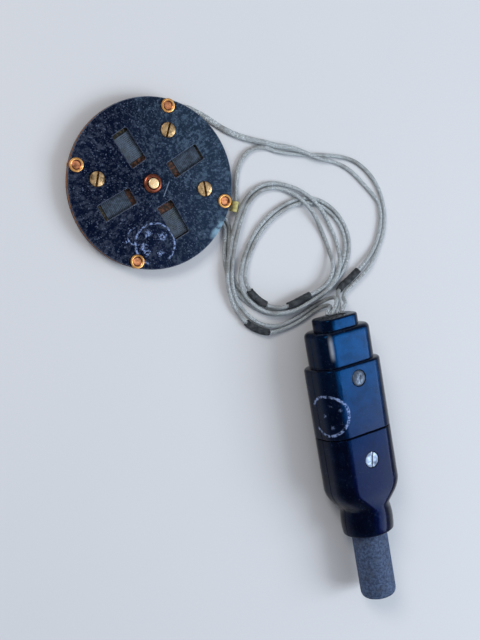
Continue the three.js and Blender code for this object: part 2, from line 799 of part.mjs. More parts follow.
function pairPoint(route, curve, index, side) {
  const [x, y, z, spread, twist] = route[index];
  const tangent = curve.getTangent(index / (route.length - 1));
  const left = new THREE.Vector3(-tangent.y, tangent.x, 0).normalize();
  const turn = degrees(twist);
  const lift = spread * Math.abs(Math.sin(turn)) + side * spread * Math.sin(turn);
  return farPoint([x, y, z + lift]).addScaledVector(left, side * spread * Math.cos(turn));
}

function strandCurve(route, starts, ends, strand) {
  const middle = new THREE.CatmullRomCurve3(route.map(([x, y, z]) => new THREE.Vector3(x, y, z)));
  const side = strand === 0 ? 1 : -1;
  const points = [
    ...starts[strand].map(startPoint),
    ...route.map((_, index) => pairPoint(route, middle, index, side)),
    ...ends[strand].map(farPoint),
  ];
  return new THREE.CatmullRomCurve3(points, false, "centripetal");
}

function tube(curve, radius, sides, steps, bore = 0) {
  const shape = circleShape(radius, sides);
  if (bore > 0) {
    shape.holes.push(circleHole(0, 0, bore, sides));
  }
  return new THREE.ExtrudeGeometry(shape, { steps, extrudePath: curve, bevelEnabled: false });
}

const strandCurves = [
  strandCurve(shortPair, shortStarts, shortEnds, 0),
  strandCurve(shortPair, shortStarts, shortEnds, 1),
  strandCurve(longPair, longStarts, longEnds, 0),
  strandCurve(longPair, longStarts, longEnds, 1),
];

strandCurves.forEach((curve, index) => {
  const steps = Math.min(80, Math.round(curve.getLength() / strandStep));
  const geometry = tube(curve, strandDiameter / 2, strandSides, steps);
  addMesh(assembly, `lead_strand_${index + 1}`, geometry, cotton);
});

// a sleeve covers the splice of one strand, from one place along the strand to another
function sleeveBody(curve, from, to) {
  const count = 5;
  const points = Array.from({ length: count }, (_, k) => {
    return curve.getPointAt(from + ((to - from) * k) / (count - 1));
  });
  return tube(new THREE.CatmullRomCurve3(points), sleeveDiameter / 2, 12, count - 1, sleeveBore / 2);
}

function nearestShare(curve, x, y, from, to) {
  let best = from;
  let bestDistance = Infinity;
  for (let share = from; share <= to; share += 0.001) {
    const point = curve.getPointAt(share);
    const distance = Math.hypot(point.x - laidOut - x, point.y - y);
    if (distance < bestDistance) {
      bestDistance = distance;
      best = share;
    }
  }
  return best;
}

// each sleeve: its strand, the place of its middle, the part of the strand to look in, and its length
const sleeves = [
  { strand: 0, x: 93, y: -41.2, from: 0.5, to: 1, length: 13 },
  { strand: 2, x: 47.4, y: -48.6, from: 0.45, to: 0.7, length: 10 },
  { strand: 2, x: 68, y: -49.6, from: 0.45, to: 0.7, length: 11.5 },
  { strand: 3, x: 48.6, y: -61, from: 0.75, to: 1, length: 11.5 },
];

sleeves.forEach(({ strand, x, y, from, to, length }, index) => {
  const curve = strandCurves[strand];
  const middle = nearestShare(curve, x, y, from, to);
  const half = length / 2 / curve.getLength();
  addMesh(assembly, `lead_sleeve_${index + 1}`, sleeveBody(curve, middle - half, middle + half), rubber);
});

const bindingLength = 4.6;
const bindingCurve = strandCurves[1];
const bindingHalf = bindingLength / bindingCurve.getLength();
addMesh(assembly, "thread_binding", sleeveBody(bindingCurve, 0.001, bindingHalf), thread);

export default assembly;
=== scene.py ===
# %% [markdown]
# # A press-button disc with twin leads and an in-line connector
# The object lies flat on a table: a laminate disc with four wire-wound elements, four thin braided
# leads, and a moulded connector. A packed mechanical model already holds every size and every joint.
# This lesson builds finer pieces around it, in metres, and each piece rides on the body it belongs to.

from math import copysign, cos, hypot, pi, radians, sin, sqrt, tan

import bmesh
import bpy
import json
import numpy as np
from mathutils import Matrix, Vector, noise

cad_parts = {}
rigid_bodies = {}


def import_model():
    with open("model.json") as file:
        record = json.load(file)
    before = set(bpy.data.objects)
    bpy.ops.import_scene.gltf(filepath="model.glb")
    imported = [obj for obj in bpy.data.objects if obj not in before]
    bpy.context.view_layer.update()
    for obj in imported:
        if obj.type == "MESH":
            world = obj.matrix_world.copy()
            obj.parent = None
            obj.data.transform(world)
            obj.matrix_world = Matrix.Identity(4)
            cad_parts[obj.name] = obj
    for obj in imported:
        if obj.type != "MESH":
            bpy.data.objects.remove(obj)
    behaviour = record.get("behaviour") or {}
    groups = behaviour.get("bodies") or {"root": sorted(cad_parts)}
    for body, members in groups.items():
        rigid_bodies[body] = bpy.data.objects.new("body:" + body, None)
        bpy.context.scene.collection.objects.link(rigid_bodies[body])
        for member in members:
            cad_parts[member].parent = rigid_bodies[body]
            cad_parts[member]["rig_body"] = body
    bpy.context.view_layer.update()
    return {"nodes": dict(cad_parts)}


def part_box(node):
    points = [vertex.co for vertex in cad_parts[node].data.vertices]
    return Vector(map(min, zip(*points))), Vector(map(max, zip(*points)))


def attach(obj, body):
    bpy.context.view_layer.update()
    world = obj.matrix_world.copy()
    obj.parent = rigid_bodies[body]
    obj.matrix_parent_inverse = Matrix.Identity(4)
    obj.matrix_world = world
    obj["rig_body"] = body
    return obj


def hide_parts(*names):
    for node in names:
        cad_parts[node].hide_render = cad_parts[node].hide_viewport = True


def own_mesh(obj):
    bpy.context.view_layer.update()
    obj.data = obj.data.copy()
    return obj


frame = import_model()
MM = 0.001
scene = bpy.context.scene

# %% [markdown]
# ## Camera
# A camera needs a place and three axes. It looks down on the table from the left of the object, with
# a small lean, so the sides of the disc and of the connector that face it can be seen. The axes are
# worked out from one slope to the side and one slope up, which keeps the horizon of the picture level.

# %% Camera
side_slope = radians(23)
up_slope = radians(5)
camera_data = bpy.data.cameras.new("viewpoint")
camera_data.lens = 60
camera_data.sensor_width = 36
camera = bpy.data.objects.new("viewpoint", camera_data)
backwards = Vector((-tan(side_slope), tan(up_slope), 1)).normalized()
rightwards = Vector((0, 1, 0)).cross(backwards).normalized()
upwards = backwards.cross(rightwards)
turn = Matrix((rightwards, upwards, backwards)).transposed().to_4x4()
stand = (-0.13743, -0.02044, 0.42078)
camera.matrix_world = Matrix.Translation(stand) @ turn
scene.collection.objects.link(camera)
scene.camera = camera
scene.view_settings.view_transform = "Standard"
print("camera stands at", [round(x, 3) for x in camera.location])

# %% [markdown]
# ## Table and light
# The table is one large pale plane. Three soft panels light it: a wide one on the right, a smaller one
# behind the top left, and a long narrow one above the first, for slim highlights. A pale world fills
# the shadows. Soft panels show glossy Bakelite well, because its shape is read from what it mirrors.

# %% Table and light
def link(name, data):
    thing = bpy.data.objects.new(name, data)
    scene.collection.objects.link(thing)
    return thing


def add_panel(name, place, aim, width, watts, colour, length=None):
    panel = bpy.data.lights.new(name, "AREA")
    panel.shape = "RECTANGLE"
    panel.size = width
    panel.size_y = length or width
    panel.energy = watts
    panel.color = colour
    lamp = link(name, panel)
    lamp.location = place
    lamp.rotation_euler = (Vector(place) - Vector(aim)).to_track_quat("Z", "Y").to_euler()


def mesh_of(shape, name):
    """Makes a mesh of a bmesh and lets the bmesh go."""
    mesh = bpy.data.meshes.new(name)
    shape.to_mesh(mesh)
    shape.free()
    return mesh


TABLE_GAP = 0.00005
table_shape = bmesh.new()
bmesh.ops.create_grid(table_shape, x_segments=1, y_segments=1, size=2.0)
table_mesh = mesh_of(table_shape, "table")
table = link("table", table_mesh)
table.location.z = -TABLE_GAP

add_panel("right_panel", (0.86, -0.27, 0.72), (0.08, -0.12, 0), 0.66, 9.0, (0.80, 0.90, 1.0))
add_panel("left_panel", (-0.62, 0.55, 0.85), (0.03, 0, 0), 0.40, 6.0, (1.0, 0.96, 0.9))
add_panel("narrow_panel", (0.50, -0.17, 0.88), (0.09, -0.10, 0), 0.05, 0.5, (0.9, 0.95, 1.0), 0.45)

world = bpy.data.worlds.new("room")
scene.world = world
world.use_nodes = True
world.node_tree.nodes["Background"].inputs["Color"].default_value = (0.80, 0.86, 1.0, 1)
world.node_tree.nodes["Background"].inputs["Strength"].default_value = 0.42

# %% [markdown]
# ## Finishes
# Every finish is a small network of nodes. A helper class keeps that readable: each method adds a node
# or a few, connects what it is given, and hands back an output. Patterns read Object coordinates, and
# since every piece sits at the origin unturned, these are metres in the shared frame.

# %% A helper that builds finishes
class Finish:
    def __init__(self, name, **fixed):
        self.material = bpy.data.materials.new(name)
        self.material.use_nodes = True
        self.tree = self.material.node_tree
        self.shader = self.tree.nodes["Principled BSDF"]
        for socket, value in fixed.items():
            self.shader.inputs[socket.replace("_", " ")].default_value = value
        self.place = self.add("TexCoord").outputs["Object"]

    def add(self, kind, inputs=None, **settings):
        made = self.tree.nodes.new("ShaderNode" + kind)
        for name, value in settings.items():
            setattr(made, name, value)
        for socket, value in (inputs or {}).items():
            self.feed(made.inputs[socket], value)
        return made

    def feed(self, socket, value):
        if isinstance(value, bpy.types.NodeSocket):
            self.tree.links.new(value, socket)
        elif value is not None:
            socket.default_value = value

    def noise(self, scale, detail=4, rough=0.6, at=None):
        inputs = {"Vector": at or self.place, "Scale": scale, "Detail": detail, "Roughness": rough}
        return self.add("TexNoise", inputs).outputs["Fac"]

    def math(self, operation, first, second=0.0):
        return self.add("Math", {0: first, 1: second}, operation=operation).outputs[0]

    def times(self, first, second):
        return self.math("MULTIPLY", first, second)

    def share(self, value, low, high, start=0.0, end=1.0):
        """How far value has gone from low to high, as a number from start to end."""
        inputs = {"Value": value, "From Min": low, "From Max": high, "To Min": start, "To Max": end}
        return self.add("MapRange", inputs, interpolation_type="SMOOTHSTEP").outputs["Result"]

    def mix(self, share, first, second, blend="MIX"):
        made = self.add("Mix", data_type="RGBA", blend_type=blend)
        self.feed(made.inputs["Factor"], share)
        for socket, value in ((made.inputs[6], first), (made.inputs[7], second)):
            self.feed(socket, (*value, 1) if isinstance(value, tuple) else value)
        return made.outputs[2]

    def moved(self, scale=(1, 1, 1), turn=(0, 0, 0), at=None):
        inputs = {"Vector": at or self.place, "Scale": scale, "Rotation": turn}
        return self.add("Mapping", inputs).outputs["Vector"]

    def edges(self, radius):
        """Bright where the surface turns over an edge."""
        soft = self.add("Bevel", {"Radius": radius}, samples=4).outputs["Normal"]
        plain = self.add("NewGeometry").outputs["Normal"]
        return self.math("SUBTRACT", 1.0, self.slant(soft, plain))

    def distance(self, point):
        return self.add("VectorMath", {0: self.place, 1: point}, operation="DISTANCE").outputs["Value"]

    def along(self, direction, origin=(0, 0, 0)):
        """How far a place lies from the origin, measured along a direction."""
        off = self.add("VectorMath", {0: self.place, 1: origin}, operation="SUBTRACT").outputs[0]
        return self.slant(off, direction)

    def slant(self, vector, direction):
        """The part of a vector that lies along a direction."""
        inputs = {0: vector, 1: direction}
        return self.add("VectorMath", inputs, operation="DOT_PRODUCT").outputs["Value"]

    def hoop(self, point, radius, width):
        """A soft hoop of that radius around a point, such as the outline of an ink stamp."""
        off = self.math("ABSOLUTE", self.math("SUBTRACT", self.distance(point), radius))
        return self.share(off, width, width * 0.3)

    def bump(self, height, strength, depth, under=None):
        inputs = {"Height": height, "Strength": strength, "Distance": depth, "Normal": under}
        return self.add("Bump", inputs).outputs["Normal"]

    def done(self, colour, rough=None, normal=None):
        self.feed(self.shader.inputs["Base Color"], colour)
        self.feed(self.shader.inputs["Roughness"], rough)
        if normal is not None:
            self.feed(self.shader.inputs["Normal"], normal)
        return self.material


table_top = Finish("pale_table", Roughness=0.8)
grain = table_top.noise(6, 3)
table_mesh.materials.append(table_top.done(table_top.mix(grain, (0.62, 0.63, 0.65), (0.66, 0.66, 0.67))))
finishes = {}
print("the table has its finish")

# %% [markdown]
# ## Braided cotton
# The leads are thin wires in a woven grey cotton tube. The weave runs round and along the lead, so the
# finish reads the lead's own UV map: U goes once round, and V is counted in millimetres along it. Two
# sets of slanted stripes cross each other, which is what a braid of yarns looks like. The grooves
# between the stripes and between the yarns are darkened as painted shade, and pale bluish streaks along
# the lead are painted highlights.

# %% Cotton and thread finishes
def braided_cotton():
    f = Finish("braided_cotton", Specular_IOR_Level=0.35)
    lead = f.add("UVMap", uv_map="along").outputs["UV"]
    streaks = f.noise(9, 5, 0.7, at=f.moved((4.0, 0.12, 1), at=lead))
    painted_groove_shade = f.noise(3, 3, 0.6, at=f.moved((9.0, 0.9, 1), at=lead))
    stripes = []
    for slant in (40, -40):
        turned_lead = f.moved((4, 0.62, 1), (0, 0, radians(slant)), lead)
        inputs = {"Vector": turned_lead, "Scale": 1.0, "Distortion": 0.8}
        stripes.append(f.add("TexWave", inputs, wave_profile="SIN").outputs["Fac"])
    weave = f.math("MAXIMUM", *stripes)
    grime = f.noise(70, 4)
    # the weave pattern, drawn near black in its grooves as painted shade
    colour = f.mix(f.share(weave, 0.25, 0.85), (0.035, 0.040, 0.044), (0.40, 0.44, 0.44))
    # painted highlights: pale bluish-white streaks along the lead
    colour = f.mix(f.share(streaks, 0.48, 0.58), colour, (0.80, 0.88, 0.94))
    # painted shade: darker marks in the grooves between the yarns
    colour = f.mix(f.share(painted_groove_shade, 0.51, 0.61, 0, 0.9), colour, (0.07, 0.07, 0.07))
    colour = f.mix(f.share(grime, 0.46, 0.64, 0, 0.65), colour, (0.16, 0.155, 0.145))
    return f.done(colour, f.share(weave, 0, 1, 0.75, 0.55), f.bump(weave, 0.5, 0.00012))


def waxed_thread():
    f = Finish("waxed_thread", Roughness=0.6)
    stain = f.noise(900, 3)
    colour = f.mix(f.share(stain, 0.35, 0.7), (0.70, 0.64, 0.26), (0.40, 0.33, 0.10))
    return f.done(colour, None, f.bump(f.noise(3000, 2), 0.3, 0.00005))


finishes["cotton"] = braided_cotton()
finishes["thread"] = waxed_thread()
print("finishes:", sorted(finishes))

# %% [markdown]
# ## The routes of the leads
# Two pairs of leads leave the disc and enter the top of the connector. A pair is drawn as one middle
# line, in millimetres: each row below is x, y, z, half the distance between the two strands, and a
# twist in degrees. Most rows lie on the table with the strands snug and untwisted, so a row may leave
# its last values out. The long pair goes round in a loose coil and over itself in long low humps.

# %% Routes
STRAND = 1.7
FLOOR = STRAND / 2 + 0.06
BESIDE = 3.3 / 2 + 0.15
OVER = 2.9
TOP = 3.65
SNUG = 1.02


def filled(rows, *usual):
    """Rows with the usual last values wherever they leave them out."""
    return [(*row, *usual[len(row) - 2:]) for row in rows]


short_pair = filled([
    (53, 17.3), (57.4, 16.2, FLOOR, 1.2), (62, 15.6, FLOOR, 1.3, 10), (67.4, 14.9, FLOOR, 1.1, 35),
    (72.9, 13.9, FLOOR, SNUG, 90), (78.5, 13.1, FLOOR, 1.0, 150), (84.4, 12.6, FLOOR, 1.2, 180),
    (89.4, 11.7, FLOOR, 1.7, 180), (94.6, 9.8, FLOOR, 2.3, 180), (99.3, 6.6, FLOOR, 2.6, 180),
    (103.4, 2.7, FLOOR, 2.5, 180), (107, -1.7, FLOOR, 1.9, 180), (109.5, -6.3, FLOOR, 1.1, 180),
    (110.5, -11.2, FLOOR, SNUG, 180), (110.5, -16, FLOOR, SNUG, 180), (109.6, -20.8, FLOOR, SNUG, 180),
    (108, -25.4, FLOOR, SNUG, 180), (105.4, -30, 1.3, 1.2, 180), (101.8, -34.6, BESIDE, 1.5, 180),
    (97.8, -38.6, BESIDE, 1.5, 180), (93.8, -42.1, BESIDE, 1.5, 180), (90.4, -45, BESIDE, 1.6, 180),
], FLOOR, SNUG, 0)
short_starts = [
    filled([(10.8, 31.3), (16.6, 31.9), (22.4, 29.5), (28, 26.3), (33.8, 23.2), (40.2, 20.8),
            (46.8, 19.3)], FLOOR),
    filled([(37.2, -10.9, 1.85), (38.2, -6.8, 1.85), (38.8, -3, 1.3), (39, 1.5), (39.6, 6.4),
            (41.3, 10.8), (44.3, 14.3), (48.4, 16.2)], FLOOR),
]
short_ends = [
    [(87, -46.4, 3.2), (86, -48.3, 5.8), (84.8, -50.2, 8.6), (83.3, -52, 11.2), (81.8, -53.5, 12.3),
     (81.2, -54.7, 12.3)],
    [(89.6, -48.3, 3.4), (88.6, -49.6, 6.4), (87.2, -50.3, 9.8), (85.5, -51.2, 12.3),
     (84.1, -52.5, 13.2), (83.4, -54.3, 13)],
]
long_pair = filled([
    (28.5, -12.3), (32.2, -13.8, FLOOR, 1.15), (34.6, -17.3), (34.9, -22), (34.6, -28), (35.2, -34),
    (36.8, -39.5), (39.8, -44.2), (43.9, -48.2), (48.8, -51.5), (54.3, -53.8), (60.2, -54.3),
    (66.2, -52.9), (72.2, -50.2), (78, -47.4), (83.1, -43.8), (87.3, -39.3), (90.7, -34.3),
    (92.3, -28.8), (92.3, -23), (90.7, -17.9), (87.9, -13.6), (84.2, -10), (79.8, -7.3), (74.8, -5.9),
    (69.5, -6), (64, -7.7), (58.8, -10.5), (54.3, -14), (50.3, -18.2), (46.9, -23.3), (44.1, -29, 1.2),
    (42, -34.8, 2.1), (41.2, -40, 3.2, 1.15), (42.9, -45.2, TOP, 1.45), (47.2, -49.6, TOP, 1.45),
    (53, -52.6, TOP, 1.4), (59.4, -53.3, TOP, 1.2), (65.6, -51.9, TOP, 1.45), (71.6, -49.1, TOP, 1.45),
    (77.4, -46.2, TOP, 1.2), (82.2, -42.5, TOP, 1.2), (85.2, -37.7, 3.5, 1.4), (86.3, -32.5, 2.6, 1.9),
    (85.7, -27.6, 1.3, 2.3), (84.2, -22.8, FLOOR, 2.4), (81.7, -18, 1.1, 2.3), (79, -13.6, 2.0, 2.2),
    (75.8, -9.6, OVER, 2.0), (72, -5.9, OVER, 1.8), (67.6, -2.7, 2.3, 1.4), (62.6, -0.6, 1.3, 1.05),
    (57.2, 0.3), (51.6, -0.5), (46.9, -3.2, 1.0), (43.3, -7.2, 1.5), (40.7, -11.8, 2.3),
    (38.7, -16.8, OVER), (37.2, -22.2, OVER), (36.1, -28, OVER), (35.4, -34, OVER), (35.3, -40, 2.8),
    (36.6, -46, 2.4), (39.3, -51.6, 2.0, 1.3), (43.4, -56.4, BESIDE, 1.45), (48.7, -59.9, BESIDE, 1.45),
    (54.4, -61.5, BESIDE, 1.4), (60, -61.1), (65.5, -59.2), (70.7, -56.6), (75.4, -53.7),
], FLOOR, SNUG, 0)
long_starts = [
    filled([(-32, 1.8), (-30.6, -4.6), (-25.6, -9.8), (-17.4, -12.8), (-7, -14.2), (4.5, -13.9),
            (15, -12.3), (23, -11.2)], FLOOR),
    filled([(-1.9, -32.2), (4, -30.2), (9.4, -26), (14.2, -20.6), (19.6, -15.9), (24.4, -13.8)], FLOOR),
]
long_ends = [
    [(79, -50.8, 1.0), (82, -49, 2.8), (83.5, -48.2, 6), (82.9, -49.1, 9.4), (81.2, -51.2, 11.9),
     (79.8, -53.4, 12.6), (79.1, -55, 12.4)],
    [(78.9, -53.1, 1.0), (81.2, -51.9, 2.8), (81.8, -52, 5.4), (80.6, -52.5, 8.2),
     (78.6, -53.1, 10.6), (77.2, -54.1, 12), (76.8, -55.4, 12.4)],
]
print("rows on the long pair's middle line:", len(long_pair))

# %% [markdown]
# ## From a route to a smooth line
# A strand lies to the left or the right of its pair's middle line. A Catmull-Rom spline then joins its
# points, because it passes through every one of them without corners. The centripetal kind is used: it
# doesn't overshoot where points are close together. The line is cut into even steps at the end.

# %% Smooth lines
def strand_points(route, starts, ends, strand):
    side = 1 if strand == 0 else -1
    middle = np.array([row[:3] for row in route])
    heading = np.gradient(middle, axis=0)
    points = list(starts[strand])
    for row, ahead in zip(route, heading):
        spread, twist = row[3], radians(row[4])
        left = np.array([-ahead[1], ahead[0], 0]) / np.hypot(ahead[0], ahead[1])
        lift = spread * abs(sin(twist)) + side * spread * sin(twist)
        points.append(tuple(np.array(row[:3]) + left * side * spread * cos(twist) + [0, 0, lift]))
    return np.array(points + list(ends[strand]), float)


def even_steps(line, step):
    run = np.concatenate([[0], np.cumsum(np.linalg.norm(np.diff(line, axis=0), axis=1))])
    places = np.linspace(0, run[-1], max(2, round(run[-1] / step) + 1))
    return np.stack([np.interp(places, run, line[:, axis]) for axis in range(3)], axis=1), run[-1]


def smooth_line(points, step):
    padded = np.vstack([2 * points[0] - points[1], points, 2 * points[-1] - points[-2]])
    share = np.linspace(0, 1, 24, endpoint=False)[:, None]
    pieces = []
    for a, b, c, d in zip(padded, padded[1:], padded[2:], padded[3:]):
        ab, bc, cd = (sqrt(np.linalg.norm(q - p)) for p, q in ((a, b), (b, c), (c, d)))
        leave = ((b - a) / ab - (c - a) / (ab + bc) + (c - b) / bc) * bc
        arrive = ((c - b) / bc - (d - b) / (bc + cd) + (d - c) / cd) * bc
        square, cube = share**2, share**3
        pieces.append((2 * cube - 3 * square + 1) * b + (cube - 2 * square + share) * leave
                      + (3 * square - 2 * cube) * c + (cube - square) * arrive)
    return even_steps(np.vstack([*pieces, points[-1:]]), step)


LEAD_STEP = 0.4
routes = [(short_pair, short_starts, short_ends, 0), (short_pair, short_starts, short_ends, 1),
          (long_pair, long_starts, long_ends, 0), (long_pair, long_starts, long_ends, 1)]
strand_lines = []
for number, route in enumerate(routes, 1):
    line, length = smooth_line(strand_points(*route), LEAD_STEP)
    strand_lines.append((line, length))
    print(f"lead strand {number}: {length:.1f} mm, {len(line)} steps")

# %% [markdown]
# ## The braided leads
# Each lead is a tube swept along its line. At every step there is a ring of points square to the line,
# and the ring isn't allowed to spin as it goes, so the weave stays straight. Four ridges slant one way
# and four the other, and the surface rises a little along each. That relief is real geometry, so that
# it also shows in the outline. The braid of two leads has come loose near the disc and swells there. A
# point that would sink into the table is lifted to just above it.

# %% Sweep a tube along a line
def sweep_frames(line):
    """Two directions square to a line at each of its points, which don't spin as it goes."""
    ahead = np.gradient(line, axis=0)
    ahead /= np.linalg.norm(ahead, axis=1)[:, None]
    side = np.cross([0, 0, 1], ahead[0])
    side = side / np.linalg.norm(side) if np.linalg.norm(side) > 0.1 else np.array([1.0, 0, 0])
    sides = []
    for direction in ahead:
        side = side - direction * side.dot(direction)
        side /= np.linalg.norm(side)
        sides.append(side)
    sides = np.array(sides)
    return sides, np.cross(ahead, sides)


def swept_tube(name, line, radii, around, caps=True):
    """A tube mesh in metres along a line in millimetres. radii is a row of radii for each point."""
    sides, tops = sweep_frames(line)
    angles = np.arange(around) * 2 * pi / around
    reach = np.cos(angles)[None, :, None] * sides[:, None] + np.sin(angles)[None, :, None] * tops[:, None]
    points = (line[:, None] + reach * radii[:, :, None]).reshape(-1, 3) * MM
    count = len(line)
    ring = np.arange(around)
    rows = np.arange(count - 1)[:, None] * around
    corners = [rows + ring, rows + (ring + 1) % around]
    faces = np.stack([*corners, corners[1] + around, corners[0] + around], axis=-1).reshape(-1, 4)
    faces = faces.tolist()
    if caps:
        faces += [ring[::-1].tolist(), (ring + (count - 1) * around).tolist()]
    mesh = bpy.data.meshes.new(name)
    mesh.from_pydata(points.tolist(), [], faces)
    run = np.concatenate([[0], np.cumsum(np.linalg.norm(np.diff(line, axis=0), axis=1))])
    u = np.stack([ring, ring + 1, ring + 1, ring], axis=-1) / around
    v = np.stack([run[:-1], run[:-1], run[1:], run[1:]], axis=-1)
    uv = np.zeros((len(mesh.loops), 2))
    sides_only = (count - 1) * around * 4
    uv[:sides_only, 0] = np.broadcast_to(u, (count - 1, around, 4)).reshape(-1)
    uv[:sides_only, 1] = np.repeat(v, around, axis=0).reshape(-1)
    mesh.uv_layers.new(name="along").data.foreach_set("uv", uv.reshape(-1).astype(np.float32))
    return mesh


def settle(thing, slot, node, finish=None):
    """Gives a finished piece its finish and its body, and lets it stand for its node in the frame."""
    thing.data.materials.append(finishes[finish or slot])
    thing.data.polygons.foreach_set("use_smooth", [True] * len(thing.data.polygons))
    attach(thing, frame["nodes"][node]["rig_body"])
    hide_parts(node)
    return thing


def braided_radii(count, around, seed, swell):
    """Radii for a braid: four ridges one way and four the other, with slow changes in thickness. swell
    is where the braid is loose, from and to in millimetres, and how much fatter it is there."""
    along = np.arange(count)[:, None] * LEAD_STEP
    start, end, share = swell
    loosened = 1 + share * np.clip((along - start) / 6, 0, 1) * np.clip((end - along) / 12, 0, 1)
    angle = np.arange(around)[None, :] * 2 * pi / around
    pitch = 2 * pi / 6.4
    right = np.cos(4 * angle + 4 * pitch * along)
    left = np.cos(4 * angle - 4 * pitch * along)
    weave = np.maximum(right, left)
    slow = 0.035 * np.sin(along * 0.21 + seed) + 0.02 * np.sin(along * 0.67 + 2 * seed)
    return STRAND / 2 * (1.0 + 0.06 * weave + slow) * loosened


AROUND = 16
LOWEST = 0.01
swells = [(9, 64, 0.5), (6, 30, 0.18), (0, 1, 0), (0, 1, 0)]
leads = []
for number, (line, length) in enumerate(strand_lines, 1):
    radii = braided_radii(len(line), AROUND, number, swells[number - 1])
    mesh = swept_tube(f"braided_lead_{number}", line, radii, AROUND)
    for vert in mesh.vertices:
        vert.co.z = max(vert.co.z, LOWEST * MM)
    lead = link(f"braided_lead_{number}", mesh)
    leads.append(settle(lead, "cotton", f"lead_strand_{number}"))
    print(lead.name, len(mesh.polygons), "faces")

# %% [markdown]
# ## Shapes from operators
# The hard pieces are modelled in millimetres with a few bmesh moves. A turned piece is half an outline
# spun once round. A lofted piece is a chain of rounded rectangles bridged one to the next. A flat piece
# is an outline with holes, filled and extruded. A slot or a pocket is cut with the Boolean modifier.

# %% Turning, lofting, plates and cutting
def turned(profile, steps=48, closed=True):
    shape = bmesh.new()
    verts = [shape.verts.new((radius, 0, height)) for radius, height in profile]
    ends = verts[1:] + (verts[:1] if closed else [])
    edges = [shape.edges.new(pair) for pair in zip(verts, ends)]
    bmesh.ops.spin(shape, geom=verts + edges, axis=(0, 0, 1), angle=2 * pi, steps=steps, use_merge=True)
    bmesh.ops.remove_doubles(shape, verts=shape.verts, dist=1e-4)
    bmesh.ops.recalc_face_normals(shape, faces=shape.faces)
    return shape


def rounded_ring(shape, y, half_width, half_thickness, corner, segments):
    """One loop of edges square to Y, drawn as a circle whose quarters are pushed apart."""
    start = Matrix.Rotation(pi / segments, 4, "Z")
    verts = bmesh.ops.create_circle(shape, segments=segments, radius=corner, matrix=start)["verts"]
    for vert in verts:
        x, z = vert.co.x, vert.co.y
        vert.co = (x + copysign(half_width - corner, x), y, z + copysign(half_thickness - corner, z))
    return {edge for vert in verts for edge in vert.link_edges}


def lofted(sections, closed=False, segments=64):
    shape = bmesh.new()
    loops = [rounded_ring(shape, *section, segments) for section in sections]
    following = loops[1:] + (loops[:1] if closed else [])
    for first, second in zip(loops, following):
        bmesh.ops.bridge_loops(shape, edges=list(first | second))
    if not closed:
        for loop in (loops[0], loops[-1]):
            bmesh.ops.edgeloop_fill(shape, edges=list(loop))
    bmesh.ops.recalc_face_normals(shape, faces=shape.faces)
    return shape


def outline_circle(shape, radius, place=(0, 0), segments=32):
    matrix = Matrix.Translation((*place, 0))
    bmesh.ops.create_circle(shape, segments=segments, radius=radius, matrix=matrix)


def outline_window(shape, length, width, corner, matrix):
    start = Matrix.Rotation(pi / 16, 4, "Z")
    verts = bmesh.ops.create_circle(shape, segments=16, radius=corner, matrix=start)["verts"]
    for vert in verts:
        x, y = vert.co.x, vert.co.y
        vert.co = (x + copysign(length / 2 - corner, x), y + copysign(width / 2 - corner, y), 0)
    bmesh.ops.transform(shape, matrix=matrix, verts=verts)


def raised(shape, bottom, height):
    """Fills the outlines in a shape, holes left open, and makes a plate of them."""
    bmesh.ops.triangle_fill(shape, edges=shape.edges, use_beauty=True)
    made = bmesh.ops.extrude_face_region(shape, geom=shape.faces[:], use_keep_orig=True)["geom"]
    top = [part for part in made if isinstance(part, bmesh.types.BMVert)]
    bmesh.ops.translate(shape, vec=(0, 0, height), verts=top)
    bmesh.ops.translate(shape, vec=(0, 0, bottom), verts=shape.verts)
    bmesh.ops.recalc_face_normals(shape, faces=shape.faces)
    return shape


def loose(shape):
    return link("workpiece", mesh_of(shape, "workpiece"))


def combined(shape, tools, operation="DIFFERENCE"):
    work = loose(shape)
    helpers = [loose(tool) for tool in tools]
    for helper in helpers:
        change = work.modifiers.new("cut", "BOOLEAN")
        change.operation = operation
        change.solver = "EXACT"
        change.object = helper
    bpy.context.view_layer.update()
    result = bmesh.new()
    result.from_object(work, bpy.context.evaluated_depsgraph_get())
    for thing in [work, *helpers]:
        mesh = thing.data
        bpy.data.objects.remove(thing)
        bpy.data.meshes.remove(mesh)
    return result


def bar(size, place, turn=0):
    shape = bmesh.new()
    matrix = Matrix.Translation(place) @ Matrix.Rotation(turn, 4, "Z") @ Matrix.Diagonal((*size, 1))
    bmesh.ops.create_cube(shape, size=1, matrix=matrix)
    return shape


def rod(radius, bottom, top, place=(0, 0), steps=40):
    shape = turned([(0, bottom), (radius, bottom), (radius, top), (0, top)], steps, closed=False)
    bmesh.ops.translate(shape, vec=(*place, 0), verts=shape.verts)
    return shape


def finish_piece(shape, node, slot, place=None, soften=0.0, finish=None, others=(), sharp=35):
    """Makes a shape in millimetres a piece in metres, in place, that stands for its node."""
    shape.transform(Matrix.Scale(MM, 4) @ (place or Matrix.Identity(4)))
    mesh = mesh_of(shape, f"fine_{node}")
    piece = settle(link(f"fine_{node}", mesh), slot, node, finish)
    mesh.set_sharp_from_angle(angle=radians(sharp))
    for index, (other, chosen) in enumerate(others, 1):
        mesh.materials.append(finishes[other])
        for face in mesh.polygons:
            if chosen(face.center / MM):
                face.material_index = index
    if soften:
        bevel = piece.modifiers.new("soft_edges", "BEVEL")
        bevel.width = soften * MM
        bevel.segments = 2
        bevel.limit_method = "ANGLE"
        bevel.angle_limit = radians(35)
        bevel.use_clamp_overlap = False
        bevel.harden_normals = True
    low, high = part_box(node)
    fine = np.array([vert.co for vert in mesh.vertices])
    slack = max(*(np.array(low) - fine.min(0)), *(fine.max(0) - np.array(high))) / MM
    print(f"{piece.name}: {len(mesh.polygons)} faces, {slack:+.2f} mm past its node's box")
    return piece


print("helpers ready")
